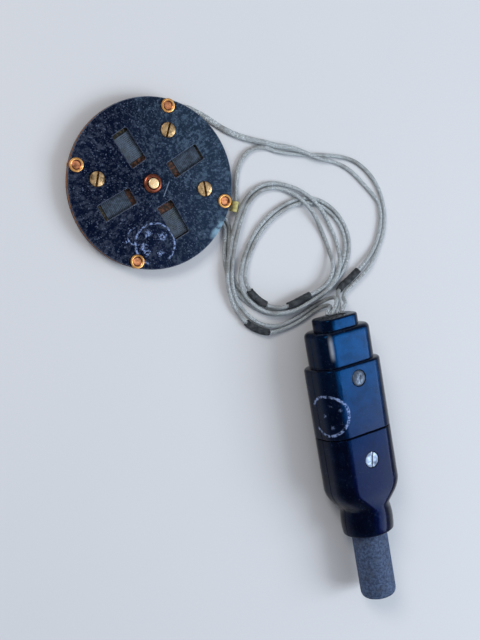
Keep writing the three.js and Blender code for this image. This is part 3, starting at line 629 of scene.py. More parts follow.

# %% [markdown]
# ## Laminate and fibre
# The face of the disc is black paper laminate, dulled by age: fine blue-grey specks and patches of dust.
# Over them is a painted sheen that makes the side towards +X paler, and near the rim there a pale patch
# that is partly worn haze and partly painted glare. The edges are paler, partly from wear and partly as
# a painted edge highlight. Old stamps have left two broken hoops of pale blue ink and a few blots, and
# there is one light scratch. The laminate's reflections are tinted blue, for cool daylight. The rim
# between the two plates is brown fibre, seen as fine layers.

# %% Laminate, fibre and card finishes
FACE = 6.2


def inked(f, colour, hoops, blots, seed_scale):
    """Lays worn ink over a colour. A hoop is its centre, radius and width, then the middle and radius
    of a spot where it has rubbed away. A blot is its centre and radius."""
    worn = f.share(f.noise(seed_scale, 5, 0.7), 0.44, 0.58)
    marks = 0.0
    for centre, radius, width, bare_spot, bare_radius in hoops:
        left_over = f.share(f.distance(bare_spot), bare_radius * 0.75, bare_radius)
        mark = f.times(f.hoop(centre, radius, width), left_over)
        marks = f.math("MAXIMUM", mark, marks)
    for centre, radius in blots:
        ragged = f.math("ADD", f.distance(centre), f.share(f.noise(900, 3), 0.2, 0.8, -0.0008, 0.0008))
        mark = f.share(ragged, radius, radius * 0.6)
        marks = f.math("MAXIMUM", marks, mark)
    return f.mix(f.times(f.times(marks, worn), 0.8), colour, (0.30, 0.40, 0.68))


def black_laminate():
    f = Finish("black_laminate", Specular_Tint=(0.04, 0.13, 0.46, 1), Specular_IOR_Level=0.42)
    specks = f.share(f.noise(1400, 2, 0.5), 0.61, 0.70)
    patchy = f.times(f.math("SUBTRACT", f.noise(230, 4, 0.7), 0.5), 0.55)
    dust = f.share(f.math("ADD", f.noise(900, 6, 0.8), patchy), 0.47, 0.64)
    clouds = f.share(f.noise(60, 5, 0.65), 0.40, 0.66)
    # painted sheen: the side towards +X is paler, as if lit from there; the dust sets how much
    side = f.share(f.along((0.94, 0.34, 0)), -0.012, 0.034)
    dull = f.times(side, f.share(dust, 0, 1, 0.25, 0.95))
    colour = f.mix(clouds, (0.0003, 0.0006, 0.0030), (0.0020, 0.0034, 0.0100))
    colour = f.mix(dust, colour, (0.033, 0.040, 0.057))
    colour = f.mix(dull, colour, (0.060, 0.100, 0.142))
    colour = f.mix(f.times(specks, 0.5), colour, (0.15, 0.19, 0.28))
    # paler edges: partly wear of the cut laminate, partly a painted edge highlight
    worn_edge = f.share(f.edges(0.0006), 0.01, 0.12)
    colour = f.mix(f.times(worn_edge, 0.75), colour, (0.20, 0.23, 0.30))
    face = FACE * MM
    hoops = [((0.0010, -0.0245, face), 0.0084, 0.0006, (0.0030, -0.0330, face), 0.0056),
             ((-0.0072, -0.0215, face), 0.0034, 0.0004, (-0.0040, -0.0208, face), 0.0048)]
    blots = [((-0.0020, -0.0202, face), 0.0016), ((0.0042, -0.0216, face), 0.0019),
             ((-0.0036, -0.0256, face), 0.0017), ((-0.0024, -0.0280, face), 0.0014),
             ((0.0034, -0.0282, face), 0.0014), ((-0.0118, -0.0240, face), 0.0007)]
    colour = inked(f, colour, hoops, blots, 800)
    middle, heading = Vector((0.0060, -0.0022, face)), Vector((-0.37, -0.93, 0))
    thin = f.share(f.math("ABSOLUTE", f.along(heading.cross(Vector((0, 0, 1))), middle)), 0.00028, 0.0001)
    near = f.share(f.distance(middle), 0.0037, 0.0030)
    colour = f.mix(f.times(f.times(thin, near), 0.6), colour, (0.24, 0.30, 0.40))
    # a pale patch near the rim on the +X side: partly worn haze, partly painted glare
    haze_and_glare_spot = f.share(f.distance((0.0290, -0.0185, face)), 0.0065, 0.0015)
    outer = f.share(f.distance((0, 0, face)), 0.0312, 0.0335)
    haze = f.times(f.times(haze_and_glare_spot, outer), f.share(f.noise(260, 4), 0.35, 0.6))
    colour = f.mix(haze, colour, (0.22, 0.36, 0.46))
    rough = f.share(dust, 0, 1, 0.42, 0.66)
    pits = f.bump(f.noise(1500, 4), 0.25, 0.00008)
    return f.done(colour, rough, f.bump(f.noise(90, 3), 0.12, 0.0004, pits))


def brown_fibre():
    f = Finish("brown_fibre", Specular_IOR_Level=0.3)
    layers = f.noise(300, 4, 0.6, at=f.moved((1, 1, 9)))
    colour = f.mix(f.share(layers, 0.35, 0.7), (0.11, 0.035, 0.012), (0.44, 0.17, 0.05))
    colour = f.mix(f.share(f.noise(120, 4), 0.55, 0.75), colour, (0.02, 0.012, 0.01))
    return f.done(colour, 0.75, f.bump(layers, 0.5, 0.00015))


def worn_card():
    """Brown former card: reddish at the end near the middle of the disc, gilded at the outer end."""
    f = Finish("worn_card", Specular_IOR_Level=0.3)
    away = f.add("VectorMath", {0: f.moved((1, 1, 0))}, operation="LENGTH").outputs["Value"]
    mottle = f.noise(900, 5, 0.7)
    inner = f.mix(f.share(mottle, 0.44, 0.66), (0.014, 0.009, 0.007), (0.15, 0.055, 0.028))
    outer = f.mix(f.share(mottle, 0.50, 0.68), (0.014, 0.013, 0.009), (0.20, 0.14, 0.05))
    colour = f.mix(f.share(away, 0.015, 0.020), inner, outer)
    return f.done(colour, 0.7, f.bump(mottle, 0.4, 0.0001))


finishes["laminate"] = black_laminate()
finishes["fibre"] = brown_fibre()
finishes["card"] = worn_card()
print("finishes:", sorted(finishes))

# %% [markdown]
# ## Plates and rim
# The disc is three layers: a front plate with four windows, a fibre ring, and a back plate. Each is cut
# from sheet, so it is drawn as an outline with holes and raised to its thickness. A narrow bevel on
# the cut edges catches the light, as the real chamfers do.

# %% Plates and rim
RADIUS = 34.93
RIVET_CIRCLE = 32.2
RIVET_HOLE = 2.2
SCREW_HOLE = 2.05
ELEMENT_CIRCLE = 17.1
rivet_angles = [78, -12, -102, 168]
screw_places = [(6.7, 21.7), (-23.1, 1.3), (22.6, -1.8)]
element_angles = [124.5, 33.5, -149.5, -58.5]
rivet_places = [(RIVET_CIRCLE * cos(radians(a)), RIVET_CIRCLE * sin(radians(a))) for a in rivet_angles]


def about(angle, place=(0, 0, 0)):
    return Matrix.Translation(place) @ Matrix.Rotation(radians(angle), 4, "Z")


def drilled_disc(middle_hole, with_windows, with_screws=True):
    shape = bmesh.new()
    outline_circle(shape, RADIUS, segments=160)
    for place in rivet_places:
        outline_circle(shape, RIVET_HOLE, place)
    for place in screw_places if with_screws else []:
        outline_circle(shape, SCREW_HOLE, place)
    outline_circle(shape, middle_hole, segments=48 if middle_hole < 10 else 128)
    for angle in element_angles if with_windows else []:
        outline_window(shape, 15, 7, 0.55, about(angle) @ Matrix.Translation((ELEMENT_CIRCLE, 0, 0)))
    return shape


front = raised(drilled_disc(3.35, with_windows=True), bottom=5.1, height=1.1)
finish_piece(front, "front_plate", "laminate", soften=0.28)
ring = raised(drilled_disc(29.13, with_windows=False, with_screws=False), bottom=3.5, height=1.5)
finish_piece(ring, "rim_ring", "fibre", soften=0.12)
back = raised(drilled_disc(1.5, with_windows=False), bottom=2.4, height=1.0)
finish_piece(back, "back_plate", "laminate", soften=0.18)

# %% [markdown]
# ## Elements
# Behind each window is a card former wound with fine resistance wire. Winding turn by turn would need
# long helices. From outside, close-wound wire is a flat tube with a groove between the turns, so it is
# lofted as one: every turn swells and narrows again, and the hollow inside lets the card through.

# %% Elements
TURNS = 16
WINDING_LENGTH = 11.6
winding_shifts = [0.1, 1.3, 0.2, 1.6]
CAVITY_MIDDLE = 4.25


def resistance_wire():
    f = Finish("resistance_wire", Metallic=0.35)
    tarnish = f.noise(500, 5, 0.7)
    colour = f.mix(f.share(tarnish, 0.35, 0.7), (0.022, 0.033, 0.050), (0.066, 0.095, 0.140))
    colour = f.mix(f.share(f.noise(110, 2), 0.5, 0.75, 0, 0.6), colour, (0.040, 0.052, 0.034))
    return f.done(colour, f.share(tarnish, 0.3, 0.7, 0.38, 0.6), f.bump(f.noise(2500, 2), 0.2, 0.00004))


finishes["winding"] = resistance_wire()


def wound_tube(shift):
    half_width, half_thickness, corner = 4.25, 0.6, 0.42
    start = -WINDING_LENGTH / 2
    sections = []
    for wire in range(TURNS):
        for part, groove in ((0.03, 0.17), (0.2, 0.04), (0.5, 0.0), (0.8, 0.04), (0.97, 0.17)):
            y = start + (wire + part) * WINDING_LENGTH / TURNS
            sections.append((y, half_width - groove, half_thickness - groove, corner))
    hollow = (4.0, 0.35, 0.3)
    sections += [(-start - 0.02, *hollow), (start + 0.02, *hollow)]
    shape = lofted(sections, closed=True, segments=24)
    bmesh.ops.translate(shape, vec=(0, shift, 0), verts=shape.verts)
    return shape


for number, (angle, shift) in enumerate(zip(element_angles, winding_shifts), 1):
    on_disc = about(angle) @ Matrix.Translation((ELEMENT_CIRCLE, 0, CAVITY_MIDDLE))
    former = bmesh.new()
    outline_window(former, 16.4, 7.4, 0.5, Matrix.Identity(4))
    finish_piece(raised(former, -0.2, 0.4), f"element_card_{number}", "card", on_disc, soften=0.06)
    outward = on_disc @ Matrix.Rotation(radians(-90), 4, "Z")
    finish_piece(wound_tube(shift), f"element_winding_{number}", "winding", outward, sharp=60)

# %% [markdown]
# ## Metals
# Old brass is not one colour. It is bright where hands and tools rub it and brown where they don't, so
# each metal mixes a tarnish over a clean colour, with the roughness following the same pattern. The
# copper of the rivets is pinker, and the steel screws are dull and slightly blue. A row of the table is
# a metal: its clean, dull and dark colours, its roughness, the share of dark, and its grain.

# %% Metal finishes
def old_metal(name, clean, dull, dark, rough, amount=0.5, scale=900):
    f = Finish(name, Metallic=1.0)
    patches = f.noise(scale, 6, 0.7)
    broad = f.noise(scale / 5, 3, 0.5)
    colour = f.mix(f.share(patches, 0.40, 0.66), clean, dull)
    colour = f.mix(f.share(broad, 0.48, 0.66, 0, amount), colour, dark)
    rubbed = f.share(f.edges(0.0003), 0.05, 0.3)
    colour = f.mix(f.times(rubbed, 0.7), colour, clean)
    roughness = f.share(patches, 0.3, 0.7, rough, rough + 0.22)
    return f.done(colour, roughness, f.bump(f.noise(2500, 3), 0.25, 0.00005))


metals = {
    "brass": ("old_brass", (0.66, 0.44, 0.22), (0.27, 0.17, 0.08), (0.030, 0.020, 0.014), 0.38, 0.95, 700),
    "grime": ("slot_grime", (0.10, 0.05, 0.02), (0.04, 0.02, 0.01), (0.008, 0.005, 0.004), 0.6),
    "copper": ("old_copper", (0.80, 0.34, 0.16), (0.42, 0.14, 0.06), (0.07, 0.022, 0.012), 0.36, 0.8),
    "steel": ("dull_steel", (0.28, 0.34, 0.44), (0.13, 0.16, 0.22), (0.02, 0.024, 0.034), 0.42, 0.7, 600),
    "rivet_rim": ("rivet_brass", (0.90, 0.47, 0.15), (0.50, 0.22, 0.07), (0.10, 0.04, 0.015), 0.30, 0.6),
    "button_top": ("rubbed_brass", (0.98, 0.74, 0.42), (0.85, 0.52, 0.24), (0.4, 0.2, 0.1), 0.34),
    "ring": ("dark_copper", (0.30, 0.09, 0.05), (0.12, 0.035, 0.022), (0.02, 0.008, 0.006), 0.24, 0.7),
}
for use, metal in metals.items():
    finishes[use] = old_metal(*metal)
print("metals:", sorted(metals))

# %% [markdown]
# ## Rivets, tags, screws and nuts
# Four rivets hold the rim and each clamps a solder tag underneath. A rivet's head has a brass rim, a
# dark ring inside it, and a copper middle set a little lower. Three slotted screws hold the front
# plate, and the disc stands on their nuts. Rivets and screws are turned, and tags and nuts are plates.
# The slots of the screws are cut, and their floors are given the darker finish of old dirt.

# %% Fasteners of the disc
TAG_Z = 1.85
tag_tails = [(-90, 5.5), (0, 3.2), (90, 5.5), (90, 5.5)]
rivet_profile = [(0, 1.15), (2.3, 1.15), (2.6, 1.35), (2.6, 1.75), (1.9, 1.75), (1.9, 6.3), (2.72, 6.3),
                 (2.9, 6.45), (2.9, 6.75), (2.78, 6.92), (2.55, 7.0), (2.15, 7.0), (1.95, 6.88),
                 (1.75, 6.66), (1.5, 6.6), (0.7, 6.63), (0, 6.66)]


def tag_shape(turn, reach):
    eye = bmesh.new()
    outline_circle(eye, 2.9, segments=40)
    tail = bmesh.new()
    outline_window(tail, reach, 2.0, 0.5, Matrix.Translation((reach / 2, 0, 0)))
    whole = combined(raised(eye, TAG_Z, 0.45), [raised(tail, TAG_Z, 0.45)], "UNION")
    bmesh.ops.rotate(whole, matrix=Matrix.Rotation(radians(turn), 3, "Z"), verts=whole.verts)
    return combined(whole, [rod(RIVET_HOLE, 0, 4)])


def nut_shape(across_corners, bore, bottom, height):
    shape = bmesh.new()
    outline_circle(shape, across_corners / 2, segments=6)
    outline_circle(shape, bore)
    return raised(shape, bottom, height)


for number, (angle, place) in enumerate(zip(rivet_angles, rivet_places), 1):
    here = about(angle, (*place, 0))
    x, y = place
    finish_piece(turned(rivet_profile, closed=False), f"edge_rivet_{number}", "copper", here,
                 others=[("ring", lambda c, x=x, y=y: hypot(c.x - x, c.y - y) > 1.5),
                         ("rivet_rim", lambda c, x=x, y=y: hypot(c.x - x, c.y - y) > 1.9)])
    finish_piece(tag_shape(*tag_tails[number - 1]), f"solder_tag_{number}", "brass", here, soften=0.06)

screw_profile = [(0, 0.3), (1.45, 0.3), (1.75, 0.6), (1.75, 6.3), (3.05, 6.3), (3.15, 6.4), (3.15, 6.75),
                 (3.02, 6.95), (2.75, 7.07), (0, 7.1)]
for number, (place, turn) in enumerate(zip(screw_places, (75, 80, 100)), 1):
    slot = bar((7.3, 0.9, 0.9), (0, 0, 7.1), radians(turn))
    cut_screw = combined(turned(screw_profile, closed=False), [slot])
    here = Matrix.Translation((*place, 0))
    finish_piece(cut_screw, f"cover_screw_{number}", "brass", here, soften=0.07,
                 others=[("grime", lambda c: 6.6 < c.z < 6.72)])
    finish_piece(nut_shape(7.2, SCREW_HOLE, 0, 2.3), f"screw_nut_{number}", "brass", here, soften=0.15)

# %% [markdown]
# ## Press button
# In the middle a small brass button stands in a dark copper bush, over a spring washer and a fixed
# contact. Pressing it moves it half a millimetre.

# %% Button, bush, spring and contact
bush_profile = [(2.45, 5.2), (3.05, 5.2), (3.05, 6.3), (3.9, 6.3), (3.95, 6.4), (3.95, 6.8), (3.82, 7.05),
                (3.55, 7.28), (3.2, 7.42), (2.85, 7.5), (2.6, 7.46), (2.45, 7.3)]
button_profile = [(0, 4.05), (0.9, 4.05), (0.9, 4.5), (2.9, 4.5), (2.9, 5.1), (2.15, 5.1), (2.15, 7.95),
                  (2.08, 8.12), (1.9, 8.22), (1.6, 8.25), (0, 8.25)]
washer_profile = [(4.15, 3.5), (4.15, 3.7), (1.5, 4.4), (1.5, 4.2)]
contact_profile = [(0, 1.8), (2.3, 1.8), (2.4, 1.9), (2.4, 2.2), (2.3, 2.3), (1.2, 2.3), (1.2, 3.3),
                   (1.1, 3.4), (0, 3.4)]
finish_piece(turned(bush_profile, 64), "centre_bush", "copper", finish="ring")
finish_piece(turned(button_profile, 48, closed=False), "press_button", "brass",
             others=[("button_top", lambda c: c.z > 8.1)])
washer = finish_piece(turned(washer_profile, 48), "return_spring", "brass")
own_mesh(washer)
finish_piece(turned(contact_profile, closed=False), "fixed_contact", "brass")

# %% [markdown]
# ## Bakelite and rubber
# Moulded Bakelite is black with a deep polish, now hazed by fine scratches and dust. It is meant for
# cool daylight: its reflections are tinted blue, more so towards the leads, and the flat faces that
# look up carry a painted blue reflection. There is one painted highlight, a pale streak on a rounded
# shoulder, and a worn stamp is left on one rounded side. The rubber of the cable and the sleeves is
# matte and mottled.

# %% Bakelite and rubber finishes
CONNECTOR_HEADING = 10.74
CONNECTOR_ROLL = 8
CONNECTOR_PLACE = (89.9, -106.5, 0)
REST_HEIGHT = 12.174
connector = (about(CONNECTOR_HEADING, CONNECTOR_PLACE) @ Matrix.Translation((0, 0, REST_HEIGHT))
             @ Matrix.Rotation(radians(CONNECTOR_ROLL), 4, "Y"))


def black_bakelite():
    f = Finish("black_bakelite", Specular_IOR_Level=0.26)
    across, length_way, upright = (connector.to_3x3() @ Vector(axis) for axis in Matrix.Identity(3))
    towards_leads = f.share(f.along(length_way.normalized(), connector.translation * MM), -0.020, 0.048)
    polish = f.mix(towards_leads, (0.012, 0.072, 0.34), (0.015, 0.29, 0.90))
    f.feed(f.shader.inputs["Specular Tint"], polish)
    haze = f.noise(140, 6, 0.7)
    specks = f.share(f.noise(1900, 3, 0.6), 0.63, 0.75)
    dust = f.share(f.noise(260, 6, 0.8), 0.56, 0.76)
    colour = f.mix(f.share(haze, 0.4, 0.7), (0.0010, 0.0014, 0.0050), (0.002, 0.005, 0.016))
    # painted reflection: faces that look up are tinted blue, stronger towards the leads
    facing = f.slant(f.add("NewGeometry").outputs["Normal"], upright)
    painted_blue_reflection = f.mix(towards_leads, (0.0002, 0.0018, 0.024), (0.001, 0.044, 0.15))
    reflection_share = f.times(f.share(facing, 0.90, 0.995), f.share(haze, 0.36, 0.62, 0.4, 1.0))
    colour = f.mix(reflection_share, colour, painted_blue_reflection)
    colour = f.mix(f.times(dust, 0.16), colour, (0.040, 0.055, 0.100))
    colour = f.mix(f.times(specks, 0.30), colour, (0.16, 0.20, 0.30))
    # painted highlight: a soft pale streak along the rounded shoulder of the top step
    highlight_centre = connector @ Vector((-10.0, 40.0, 8.9)) * MM
    painted_highlight = f.share(f.math("ABSOLUTE", f.along(across.normalized(), highlight_centre)), 0.0014, 0.0)
    painted_highlight = f.times(painted_highlight, f.share(f.distance(highlight_centre), 0.0068, 0.0020))
    painted_highlight = f.times(painted_highlight, f.share(haze, 0.30, 0.60, 0.5, 1.0))
    colour = f.mix(f.times(painted_highlight, 0.7), colour, (0.36, 0.40, 0.46))
    worn_edge = f.share(f.edges(0.0005), 0.03, 0.22)
    worn_edge = f.times(worn_edge, haze)
    colour = f.mix(f.times(worn_edge, 0.35), colour, (0.10, 0.11, 0.14))
    stamp = connector @ Vector((-15.0, 11.2, 5.6)) * MM
    rubbed = connector @ Vector((-16.5, 10.5, -3.5)) * MM
    spots = {(-14.0, 15.6, 7.4): 0.0013, (-15.9, 11.4, 4.6): 0.0012, (-14.4, 6.2, 7.0): 0.0015,
             (-11.6, 7.6, 9.4): 0.0011, (-11.4, 13.4, 9.6): 0.0013, (-12.6, 10.2, 8.8): 0.0009}
    blots = [(connector @ Vector(place) * MM, radius) for place, radius in spots.items()]
    colour = inked(f, colour, [(stamp, 0.0088, 0.0008, rubbed, 0.0062)], blots, 900)
    streaks = f.noise(500, 3, 0.6, at=f.moved((1, 0.08, 1), (0, 0, radians(-20))))
    rough = f.share(f.math("ADD", haze, f.times(dust, 0.3)), 0.4, 0.9, 0.15, 0.42)
    scratches = f.bump(streaks, 0.05, 0.00008)
    return f.done(colour, rough, f.bump(f.noise(220, 2), 0.05, 0.0004, scratches))


def old_rubber(name, dark, pale, brown, scale=500):
    f = Finish(name, Specular_IOR_Level=0.3)
    mottle = f.noise(scale, 6, 0.72)
    colour = f.mix(f.share(mottle, 0.36, 0.68), dark, pale)
    colour = f.mix(f.share(f.noise(scale / 4, 4), 0.50, 0.72, 0, 0.6), colour, brown)
    specks = f.share(f.noise(2600, 2), 0.64, 0.74)
    colour = f.mix(f.times(specks, 0.3), colour, (0.30, 0.34, 0.38))
    return f.done(colour, f.share(mottle, 0.3, 0.7, 0.86, 0.66), f.bump(mottle, 0.35, 0.00015))


finishes["bakelite"] = black_bakelite()
finishes["rubber"] = old_rubber("slate_rubber", (0.013, 0.016, 0.020), (0.060, 0.068, 0.075),
                                (0.045, 0.026, 0.018))
finishes["grey_rubber"] = old_rubber("aged_grey_rubber", (0.026, 0.040, 0.082), (0.076, 0.120, 0.220),
                                     (0.044, 0.052, 0.070), 800)
print("finishes:", sorted(finishes))

# %% [markdown]
# ## Connector shells
# The connector is two halves that pull apart at a seam, and each half is a front and a rear shell held
# by one screw. Both shells of a half come from the same hollow loft: rounded rectangles go along the
# outside and back along the inside, and the closed tube is then cut along its length by a plane and
# the cut is filled. The pockets of the screw and its nut are cut last.

# %% Connector shells
WALL = 2.6
SEAM = 0.15
SOCKET_SCREW_AT = 24.7
PLUG_SCREW_AT = -12


def body_at(y, inset=0.0):
    return (y, 16.5 - inset, 11 - inset, 8 - inset)


def step_at(y, inset=0.0):
    return (y, 14.2 - inset, 9.4 - inset, 7 - inset)


def entry_at(y, inset=0.0):
    return (y, 9.9 - inset, 7 - inset, 5.5 - inset)


def round_at(y, radius):
    return (y, radius, radius, radius - 0.01)


def shoulder(at, end, radius, steps=5):
    """The rounded edge where a section closes towards higher y: (y, inset) along a quarter circle."""
    angles = [pi / 2 * k / steps for k in range(steps + 1)]
    return [at(end - radius + radius * sin(a), radius - radius * cos(a)) for a in angles]


def start_edge(at, start, radius, steps=3):
    angles = [pi / 2 * k / steps for k in range(steps, -1, -1)]
    return [at(start + radius - radius * sin(a), radius - radius * cos(a)) for a in angles]


socket_outside = [*start_edge(body_at, SEAM, 0.45), body_at(24), *shoulder(body_at, 31.1, 1.1),
                  step_at(31.35, 0.05), step_at(31.9), step_at(43.2), *shoulder(step_at, 46.55, 2.0),
                  entry_at(46.75), entry_at(47.2), *shoulder(entry_at, 51.7, 0.9)]
socket_inside = [(51.7, 5.6, 3.0, 2.9), (44.15, 5.6, 3.0, 2.9), step_at(44.1, WALL), step_at(28.6, WALL),
                 body_at(28.5, WALL), body_at(SEAM, WALL)]
plug_outside = [*start_edge(lambda y, inset: round_at(y, 11.4 - inset), -46.2, 0.8),
                round_at(-43.5, 11.58), round_at(-41, 11.7), round_at(-38.5, 11.6),
                round_at(-36.2, 11.3), round_at(-34.6, 10.95), (-33.4, 11.3, 10.85, 10.2),
                (-32.2, 12.4, 10.8, 9.7), (-31.1, 13.3, 10.8, 9.4), (-29.6, 14.5, 10.9, 9.0),
                (-28, 15.4, 11, 8.6), (-26.2, 16.1, 11, 8.2), body_at(-24.2), body_at(-12),
                *shoulder(body_at, -SEAM, 0.45, 3)]
plug_inside = [body_at(-SEAM, WALL), body_at(-25.1, WALL), (-30.1, 8.3, 8.3, 8.29), (-46.2, 8.3, 8.3, 8.29)]


def shell_shape(outside, inside, screw_at, side):
    tube = lofted([*outside, *inside], closed=True)
    made = bmesh.ops.bisect_plane(tube, geom=[*tube.verts, *tube.edges, *tube.faces], dist=1e-5,
                                  plane_co=(0, 0, side * SEAM), plane_no=(0, 0, side), clear_inner=True)
    rims = [part for part in made["geom_cut"] if isinstance(part, bmesh.types.BMEdge)]
    bmesh.ops.edgeloop_fill(tube, edges=rims)
    bmesh.ops.recalc_face_normals(tube, faces=tube.faces)
    bore = rod(1.9, -20, 20, (0, screw_at))
    pocket = rod(3.7, 9.9, 20, (0, screw_at)) if side > 0 else rod(3.5, -20, -9.3, (0, screw_at))
    return combined(tube, [bore, pocket])


halves = {"socket": (socket_outside, socket_inside, SOCKET_SCREW_AT),
          "plug": (plug_outside, plug_inside, PLUG_SCREW_AT)}
for half, (outside, inside, screw_at) in halves.items():
    for face, side in (("front", 1), ("rear", -1)):
        shell = shell_shape(outside, inside, screw_at, side)
        finish_piece(shell, f"{half}_{face}_shell", "bakelite", connector, soften=0.12, sharp=38)

# %% [markdown]
# ## What the shells hold
# The front shells are held by plated screws with domed heads. Inside, a fibre block on each side
# of the seam carries four contacts or four pins. The leads come in through a flat rubber grommet, and
# the stub of the thick cable sits in the round neck at the other end.

# %% Screws, nuts, blocks, pins, grommet and cable stub
NUT_CORNERS = 6.4
NUT_DROP = 12.154
NUT_BASE = -(NUT_DROP - NUT_CORNERS / 2 * sin(radians(CONNECTOR_ROLL))) / cos(radians(CONNECTOR_ROLL))
HEAD_TOP = 10.9


def shell_screw(dome, slot_turn, slot_depth):
    profile = [(0, NUT_BASE + 0.4), (1.35, NUT_BASE + 0.4), (1.6, NUT_BASE + 0.7), (1.6, 10.0),
               (3.3, 10.0), (3.4, 10.1), (3.4, 10.85), (3.2, HEAD_TOP + dome * 0.25),
               (2.55, HEAD_TOP + dome * 0.6), (1.4, HEAD_TOP + dome * 0.93), (0, HEAD_TOP + dome)]
    slot = bar((0.9, 7.8, 2 * slot_depth), (0, 0, HEAD_TOP + dome), radians(slot_turn))
    return combined(turned(profile, closed=False), [slot])


for half, screw_at, dome, slot_depth in (("socket", SOCKET_SCREW_AT, 0.7, 0.22),
                                         ("plug", PLUG_SCREW_AT, 0.15, 0.45)):
    here = connector @ Matrix.Translation((0, screw_at, 0))
    finish_piece(shell_screw(dome, -12, slot_depth), f"{half}_screw", "steel", here, soften=0.08)
    finish_piece(nut_shape(NUT_CORNERS, 1.9, NUT_BASE, 2.3), f"{half}_nut", "steel", here, soften=0.15)

PIN_X = [-9, -3, 3, 9]


def lying_rod(radius, low, high, x=0.0, tip=0.0):
    """A rod lying along Y."""
    profile = [(0, low), (radius, low), (radius, high - tip), (radius - tip * 0.7, high - tip * 0.3),
               (max(radius - tip, 0.01), high), (0, high)]
    shape = turned(profile, 32, closed=False)
    bmesh.ops.rotate(shape, matrix=Matrix.Rotation(radians(-90), 3, "X"), verts=shape.verts)
    bmesh.ops.translate(shape, vec=(x, 0, 0), verts=shape.verts)
    return shape


def block_shape(low, high, bore):
    block = lofted([body_at(low, WALL + 0.3), body_at(high, WALL + 0.3)])
    return combined(block, [lying_rod(bore, low - 1, high + 1, x) for x in PIN_X])


finish_piece(block_shape(1, 12, 2.4), "socket_block", "fibre", connector, soften=0.15)
finish_piece(block_shape(-8.5, -1, 1.5), "plug_block", "fibre", connector, soften=0.15)
for number, x in enumerate(PIN_X, 1):
    tube = combined(lying_rod(2.1, 1.2, 14, x), [lying_rod(1.5, -1, 10, x)])
    finish_piece(tube, f"socket_contact_{number}", "brass", connector, soften=0.1)
    finish_piece(lying_rod(1.2, -9, 9, x, 0.8), f"plug_pin_{number}", "brass", connector)

grommet = lofted([(45.1, 5.3, 2.7, 2.6), (51.6, 5.3, 2.7, 2.6), (51.85, 5.05, 2.45, 2.35)])
finish_piece(grommet, "lead_grommet", "rubber", connector, soften=0.1)


def stub_sections():
    sections = []
    for y, radius in ((-77.2, 5.6), (-77.05, 6.4), (-76.7, 7.0), (-76.1, 7.5), (-75.3, 7.8), (-74.2, 7.95)):
        sections.append(round_at(y, radius))
    for step in range(30):
        y = -73 + step * 1.35
        sections.append(round_at(y, 8.0 - 0.06 * (0.5 + 0.5 * noise.noise(Vector((step * 0.7, 3.1, 0))))))
    return [*sections, round_at(-32.2, 8.0)]


finish_piece(lofted(stub_sections()), "cable_stub", "grey_rubber", connector, sharp=50)

# %% [markdown]
# ## Sleeves and the thread binding
# Short rubber sleeves cover the splices in the leads, and a few turns of yellow thread bind one lead
# beside the disc. A sleeve is a swept tube on the lead's own line, a little fatter towards its middle,
# with lips at its ends. The binding is one helix of thread, wound round the lead nine times.

# %% Sleeves and binding
FINE_STEP = 0.3


def stretch(line, place, length, low, high):
    """The part of a line of that length whose middle is nearest to a place. Only the line from its
    share low to its share high is searched, because a coiled lead passes the same place twice."""
    first, last = int(low * (len(line) - 1)), int(high * (len(line) - 1))
    searched = line[first:last + 1]
    near = first + int(np.argmin(np.hypot(searched[:, 0] - place[0], searched[:, 1] - place[1])))
    half = length / 2 / LEAD_STEP
    picked = line[max(0, int(near - half)): int(near + half) + 1]
    return even_steps(picked, FINE_STEP)[0]


def sleeve_radii(count, around, seed):
    share = np.linspace(-1, 1, count)[:, None]
    angle = np.arange(around)[None, :] * 2 * pi / around
    belly = 1.60 - 0.10 * share**4
    wrinkles = 0.035 * np.sin(share * 17 + 2 * np.cos(angle + seed))
    wrinkles = wrinkles + 0.03 * np.sin(3 * angle + 5 * share + seed)
    lips = 0.05 * np.exp(-((np.abs(share) - 0.97) / 0.02)**2)
    return belly + wrinkles + lips


def thick_sleeve(name, line, seed, around=24):
    """A sleeve's outside, given a wall that grows inwards."""
    mesh = swept_tube(name, line, sleeve_radii(len(line), around, seed), around, caps=False)
    shape = bmesh.new()
    shape.from_mesh(mesh)
    bmesh.ops.recalc_face_normals(shape, faces=shape.faces)
    bmesh.ops.solidify(shape, geom=shape.faces, thickness=0.42 * MM)
    shape.to_mesh(mesh)
    shape.free()
    return mesh


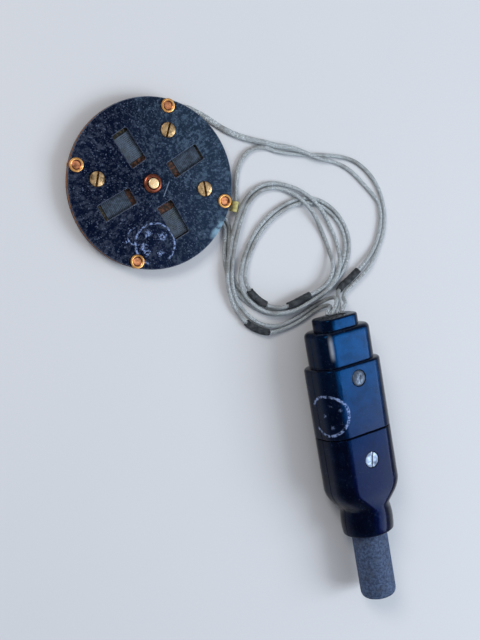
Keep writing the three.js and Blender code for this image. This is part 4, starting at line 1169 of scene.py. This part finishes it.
def wound_thread(name, line, radius, thread, turns):
    """One helix of thread round a line, with a rounded end at each side."""
    sides, tops = sweep_frames(line)
    count = turns * 16 + 1
    share = np.linspace(0, 1, count)
    rows = share * (len(line) - 1)
    pick = [np.stack([np.interp(rows, range(len(line)), part[:, k]) for k in range(3)], axis=1)
            for part in (line, sides, tops)]
    angle = share[:, None] * turns * 2 * pi
    helix = pick[0] + radius * (np.cos(angle) * pick[1] + np.sin(angle) * pick[2])
    thickness = np.full((count, 8), thread / 2)
    thickness[[0, -1]] *= 0.45
    return swept_tube(name, helix, thickness, 8)


sleeves = [(0, (93, -41.2), 0.5, 1.0, 13.0), (2, (47.4, -48.6), 0.45, 0.7, 10.0),
           (2, (68, -49.6), 0.45, 0.7, 11.5), (3, (48.6, -61), 0.75, 1.0, 11.5)]
for number, (strand, place, low, high, length) in enumerate(sleeves, 1):
    part = stretch(strand_lines[strand][0], place, length, low, high)
    name = f"lead_sleeve_{number}"
    sleeve = link(f"fine_{name}", thick_sleeve(f"fine_{name}", part, number))
    settle(sleeve, "rubber", name)
    print(sleeve.name, len(sleeve.data.polygons), "faces")

bound = even_steps(strand_lines[1][0][:12], FINE_STEP)[0]
binding = link("fine_thread_binding",
               wound_thread("fine_thread_binding", bound, radius=1.32, thread=0.5, turns=9))
settle(binding, "thread", "thread_binding")
print(binding.name, len(binding.data.polygons), "faces")

# %% [markdown]
# ## The pieces on each lead
# A lead is a fixed length of something flexible. Each one has a list of the pieces that sit on it, and
# its name and length are printed.

on_lead = [
    ["fine_lead_sleeve_1", "fine_lead_grommet"],
    ["fine_thread_binding", "fine_socket_front_shell", "fine_socket_screw"],
    ["fine_lead_sleeve_2", "fine_lead_sleeve_3", "fine_socket_rear_shell", "fine_socket_nut"],
    ["fine_lead_sleeve_4", "fine_socket_block"] + [f"fine_socket_contact_{k}" for k in range(1, 5)],
]
for lead, (line, length), pieces in zip(leads, strand_lines, on_lead):
    print(lead.name, "declared,", round(length * MM, 4), "m")
